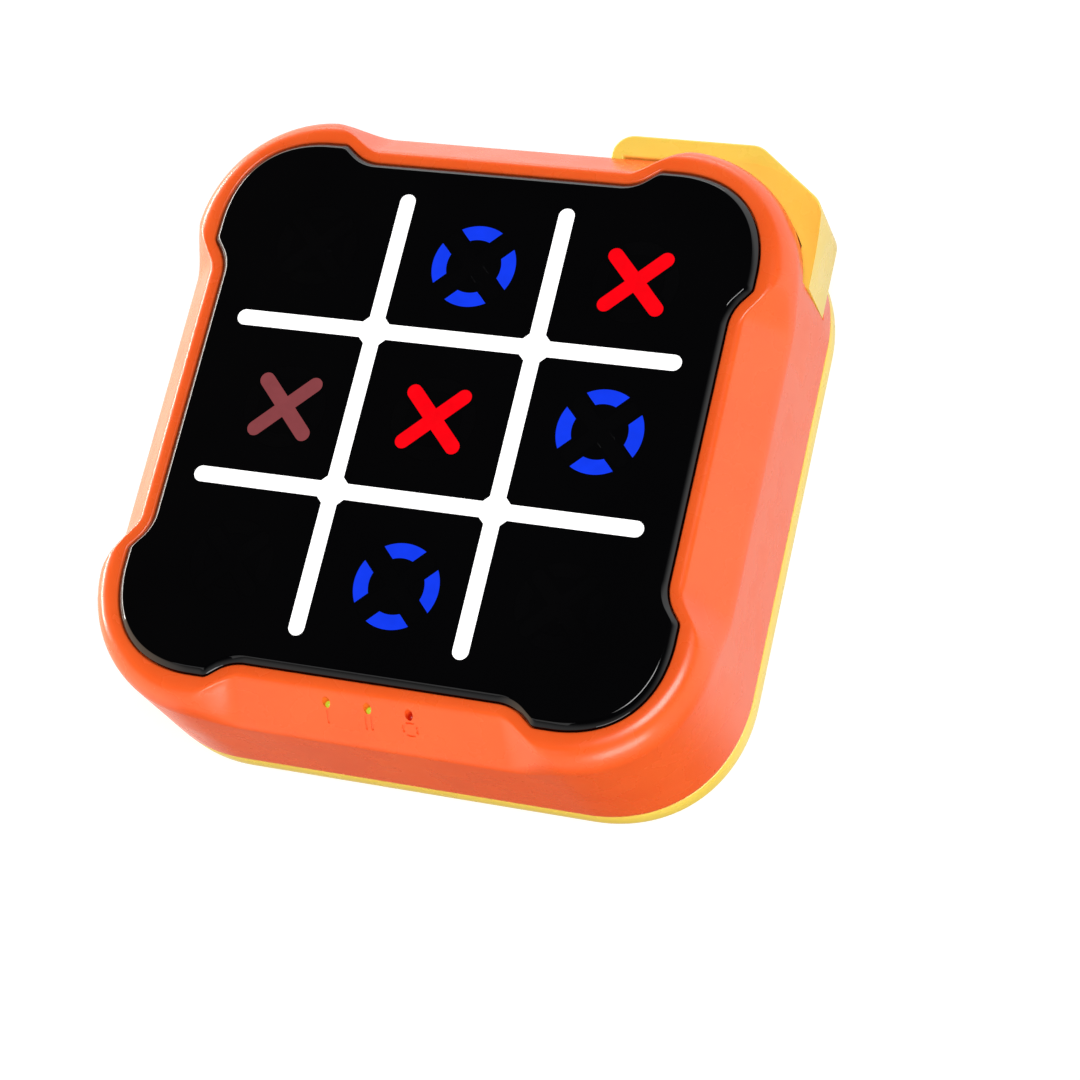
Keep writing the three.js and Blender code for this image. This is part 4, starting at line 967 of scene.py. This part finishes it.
# %% Switch knob
x, y, wide, long = *SWITCH, 2.2, 2.6
outline = block(x - wide, x + wide, y - long, y + long, 0.5)
knob = mesh_object("mode_switch_knob", slab(outline, 0.2, 1.0, 0.2, 0.1))
combine(knob, [on_switch(0.8, 1.3, 0.8, 3.2), on_switch(1.1, 2.2, 2.6, 4.9, 0.2)], "UNION")
ribs = [bar(1.8, 0.6, -1, 0.45, 0, x, y + 1.3 * i) for i in (-1, 0, 1)]
combine(knob, ribs, "DIFFERENCE")
finish_piece(knob, black_nylon, "mode_switch", ["switch_knob"], 30)

# %% [markdown]
# ## Cells, contacts and wires
#
# Three AAA cells lie side by side with alternating ends. A cell is a drawn steel can in a printed
# sleeve, so it is turned from one profile and then laid down along the bay.

# %% Cells
CELL_PITCH, CELL_Z, CELL_LONG = 10.8, 7.35, 44.5
CELL_START = 24.3 - CELL_LONG
CELL_PROFILE = softened([
    [0, 0], [4.9, 0], [5.2, 0.3], [5.2, 43.2], [4.9, 43.5], [1.9, 43.5], [1.9, CELL_LONG], [0, CELL_LONG],
], 0.12)
for i, (name, way) in enumerate((("left", 1), ("middle", -1), ("right", 1))):
    points, faces = turned([[1.5, 0], *CELL_PROFILE.tolist()[1:-1], [1.5, CELL_LONG]], 0, 0, 64)
    x, y, z = points.T
    placed = np.column_stack([(i - 1) * CELL_PITCH + way * x, way * (CELL_START + z), CELL_Z - y])
    cell = mesh_object(f"cell_{name}", (placed, faces))
    sleeve = cell_sleeve(f"cell_sleeve_{name}", way * CELL_START, way * (CELL_START + CELL_LONG))
    finish_piece(cell, sleeve, "case", [f"battery_{name}"])

# %% [markdown]
# Sheet contacts join the cells in series: a raised bump meets each positive nub and a conical wire
# spring pushes each negative end. A spring is a round section swept along a spiral whose radius
# falls as it rises, which is how it is wound.

# %% Springs and contacts


def spring(x, end):
    """Conical spring from the plate at one end of the bay: three turns, 3.4 mm wide down to 2.2."""
    t = np.linspace(0, 1, 150)
    angle, radius = 6 * math.pi * t, 3.4 - 1.2 * t
    y = end * (25.25 - 4.3 * t)
    path = np.column_stack([x + radius * np.cos(angle), y, CELL_Z + radius * np.sin(angle)])
    return tube(path, 0.28, (0, 1, 0))


def upright(outline, y0, y1):
    """A solid whose outline lies in X and Z, from one Y to another."""
    points, faces = slab(outline, -y1, -y0, 0.06, 0.06, 2)
    return np.column_stack([points[:, 0], -points[:, 2], points[:, 1]]), faces


def contact(name, x0, x1, end, springs, bumps):
    """Sheet contact at one end of the bay, with its springs and bumps."""
    near, far = sorted((end * 25.55, end * 25.15))
    solids = [upright(block(x0 - 4.4, x1 + 4.4, 3, 12, 0.6, 4), near, far)]
    for x in bumps:
        low, high = sorted((end * 25.5, end * 24.5))
        solids.append(upright(block(x - 1.4, x + 1.4, 5.95, 8.75, 0.7, 4), low, high))
    solids += [spring(x, end) for x in springs]
    piece = mesh_object(f"sheet_{name}", gather(*solids))
    finish_piece(piece, nickel_steel, "case", [name], 40)


contact("contact_positive", -CELL_PITCH, -CELL_PITCH, 1, [], [-CELL_PITCH])
contact("contact_negative", CELL_PITCH, CELL_PITCH, -1, [CELL_PITCH], [])
contact("contact_link_top", 0, CELL_PITCH, 1, [0], [CELL_PITCH])
contact("contact_link_bottom", -CELL_PITCH, 0, -1, [-CELL_PITCH], [0])

# %% [markdown]
# Two vinyl covered wires lead from the bay up to the board. Each is a round section swept along a
# smooth line through a few stops, which bends as a short stiff wire does.

# %% Wires


def through(points, steps=8):
    """Smooth line through points: between two, a cubic that uses the points before and after."""
    points = np.array(points, float)
    padded = np.vstack([2 * points[0] - points[1], points, 2 * points[-1] - points[-2]])
    a, b, c, d = (padded[i:len(padded) - 3 + i][:, None] for i in range(4))
    t = np.linspace(0, 1, steps, endpoint=False)[None, :, None]
    cubic = 2 * b + (c - a) * t + (2 * a - 5 * b + 4 * c - d) * t**2 + (3 * b - a - 3 * c + d) * t**3
    return np.vstack([cubic.reshape(-1, 3) / 2, points[-1]])


for name, side, material, slot in (
    ("wire_positive", -1, red_vinyl, "red_wire"), ("wire_negative", 1, black_vinyl, "black_wire"),
):
    stops = [
        (15.7, 24.2, 10.4), (15.7, 22.4, 10.2), (16.4, 20.6, 10.0),
        (19.6, 20.2, 10.2), (21.0, 19.2, 12.2), (21.0, 18.2, 15.3),
    ]
    path = through([(side * x, -side * y, z) for x, y, z in stops])
    wire = mesh_object(f"{name}_lead", tube(path, 0.5, (side, side, -1), 16))
    finish_piece(wire, material, "case", [name], 60)

# %% [markdown]
# ## Pieces that stay as the CAD model has them
#
# The board, the light box, the film, the switch housing, the sounder and the brass insert are
# shut inside. Their flat faces and plain edges are right as they are, so each only gets its finish.

# %% Finishes on the CAD nodes
KEPT = {
    "main_board": (green_mask, "circuit_board"),
    "light_box": (white_abs, "white_abs"),
    "touch_film": (sensor_film, "film"),
    "switch_body": (black_nylon, "black_nylon"),
    "sounder": (black_nylon, "black_nylon"),
    "door_insert": (turned_brass, "brass"),
}
STAND_IN = {
    "top_case": orange_abs, "back_cover": yellow_abs, "strap_loop": yellow_abs, "battery_door": yellow_abs,
    # The grid inlay's white carries a painted glow.
    "front_panel": black_acrylic, "grid_inlay": white_print_painted_glow, "switch_knob": black_nylon,
    "wire_positive": red_vinyl, "wire_negative": black_vinyl,
}
for name, item in nodes.items():
    item.data.materials.clear()
    kept = KEPT.get(name)
    family = zinc_steel if "screw" in name else nickel_steel if "contact" in name else smoked_acrylic
    item.data.materials.append(kept[0] if kept else STAND_IN.get(name, family))
hidden = [name for name in nodes if nodes[name].hide_render]
print(f"{len(hidden)} CAD nodes are stood for, {sorted(set(nodes) - set(hidden))} are shown")

# %% [markdown]
# ## Studio
#
# The game lies on white paper under soft studio light. The paper gives out part of its own white,
# so it stays even right under the game. It is left out of reflections and bounced light, which
# would turn the lower walls pink, and it is clear from below, so that the back can be looked at.

# %% Floor
reach = np.array([[-2, -2, 0], [2, -2, 0], [2, 2, 0], [-2, 2, 0]]) / MM - [0, 0, 0.05]
floor = mesh_object("studio_floor", (reach, [[0, 1, 2, 3]]))
floor_material, tree, shader, place = start_material("studio_paper")
tree.links.new(two_tone(tree, place, 60, "#A9A9A9", "#A4A4A4"), shader.inputs["Base Color"])
tree.links.new(mottled(tree, place, 20, 0.6, 0.7), shader.inputs["Roughness"])
shader.inputs["Specular IOR Level"].default_value = 0.1
shader.inputs["Emission Color"].default_value = colour("#FFFFFF")
shader.inputs["Emission Strength"].default_value = 0.72
from_below = node(tree, "ShaderNodeNewGeometry").outputs["Backfacing"]
clear = node(tree, "ShaderNodeBsdfTransparent").outputs["BSDF"]
one_sided = node(tree, "ShaderNodeMixShader", {0: from_below, 1: shader.outputs["BSDF"], 2: clear})
tree.links.new(one_sided.outputs["Shader"], tree.nodes["Material Output"].inputs["Surface"])
floor.data.materials.append(floor_material)
floor.visible_diffuse = floor.visible_glossy = floor.visible_shadow = False
print(f"paper {np.ptp(reach[:, 0]) * MM:.0f} m wide, {-reach[0, 2]:.2f} mm below the game")

# %% [markdown]
# The sky is bright near the horizon and dark overhead, so that the level panel reflects only the
# dark part and stays black, while its bevels catch the bright part as thin lines. It is warmer on
# the left and dimmer towards the back from below. Plain lamps could do this, but a sky that fades
# by direction has no edges that would show in the gloss.

# %% Sky
world = bpy.data.worlds.new("studio_sky")
scene.world = world
world.use_nodes = True
tree = world.node_tree
facing = node(tree, "ShaderNodeTexCoord").outputs["Generated"]
toward = node(tree, "ShaderNodeSeparateXYZ", {"Vector": facing})


def faded(value, start, stop, low, high):
    """A smooth step from one strength to another as a part of the direction grows."""
    inputs = {"Value": value, "From Min": start, "From Max": stop, "To Min": low, "To Max": high}
    return node(tree, "ShaderNodeMapRange", inputs, interpolation_type="SMOOTHSTEP").outputs["Result"]


overhead = faded(toward.outputs["Z"], 0.28, 0.55, 1.0, 0.02)
below = faded(toward.outputs["Z"], -0.6, -0.2, 1.0, 0.75)
behind = faded(toward.outputs["Y"], -0.3, 0.15, 0.8, 0.0)
shade = node(tree, "ShaderNodeMath", {0: below, 1: behind}, operation="MULTIPLY").outputs[0]
left = faded(toward.outputs["X"], -0.85, -0.3, 1.0, 0.0)
level = faded(toward.outputs["Z"], -0.75, -0.3, 0.85, 1.25)
open_side = node(tree, "ShaderNodeMath", {0: level, 1: shade}, operation="SUBTRACT").outputs[0]
lifted = node(tree, "ShaderNodeMath", {0: left, 1: open_side}, operation="ADD").outputs[0]
sky = node(tree, "ShaderNodeMath", {0: lifted, 1: overhead}, operation="MULTIPLY").outputs[0]
tint = node(tree, "ShaderNodeMix", {"Factor": left}, data_type="RGBA")
tint.inputs["A"].default_value = colour("#FFFFFF")
tint.inputs["B"].default_value = colour("#FFE2C8")
tree.links.new(sky, tree.nodes["Background"].inputs["Strength"])
tree.links.new(tint.outputs["Result"], tree.nodes["Background"].inputs["Color"])
print(f"sky of {len(tree.nodes)} nodes")

# %% [markdown]
# Five softboxes shape the walls: a key from above, long strips at the left and the back that
# brighten the edges, and a box and a card at the front.

# %% Lamps


def lamp(name, place, size, strength, look_at=(0, 0, 0.02)):
    """A softbox that faces a point. Its strength is what it gives out for each unit of area."""
    data = bpy.data.lights.new(name, "AREA")
    data.shape = "RECTANGLE"
    data.size, data.size_y = size
    data.energy = strength * math.pi * size[0] * size[1]
    made = bpy.data.objects.new(name, data)
    scene.collection.objects.link(made)
    ahead = np.array(look_at) - np.array(place)
    ahead = ahead / np.linalg.norm(ahead)
    right = np.cross(ahead, (0, 0, 1))
    right = right / np.linalg.norm(right)
    axes = np.column_stack([right, np.cross(right, ahead), -ahead, place])
    made.matrix_world = Matrix([*axes.tolist(), [0, 0, 0, 1]])
    return made


lamp("key_softbox", (0.35, -0.15, 1.0), (0.5, 0.5), 11.0)
lamp("left_strip", (-0.8, 0.2, 0.06), (0.7, 0.12), 24.0)
lamp("back_strip", (-0.3, 0.85, 0.13), (0.8, 0.08), 5.0)
lamp("front_box", (0.42, -0.82, 0.1), (0.5, 0.3), 7.5)
lamp("front_card", (-0.33, -0.74, 0.58), (0.5, 0.25), 0.8)
print(f"lamps: {sorted(light.name for light in bpy.data.lights)}")

# %% [markdown]
# ## Camera
#
# A long lens from high on the lower right. Its place and turn were fitted to the grid, which is
# the one flat, square feature of known pitch.

# %% Camera
camera_data = bpy.data.cameras.new("camera")
camera_data.lens = 93.03
camera_data.sensor_width = 36
camera_data.clip_start, camera_data.clip_end = 0.01, 10
camera = bpy.data.objects.new("camera", camera_data)
scene.collection.objects.link(camera)
camera.matrix_world = Matrix([
    [0.93531, -0.12309, 0.33173, 0.118139],
    [0.22240, 0.93371, -0.28059, -0.099040],
    [-0.27520, 0.33622, 0.90068, 0.302044],
    [0, 0, 0, 1],
])
scene.camera = camera
scene.view_settings.view_transform = "Standard"
print(f"{camera_data.lens:.0f} mm lens, {camera.matrix_world.translation.length * 1000:.0f} mm from the game")
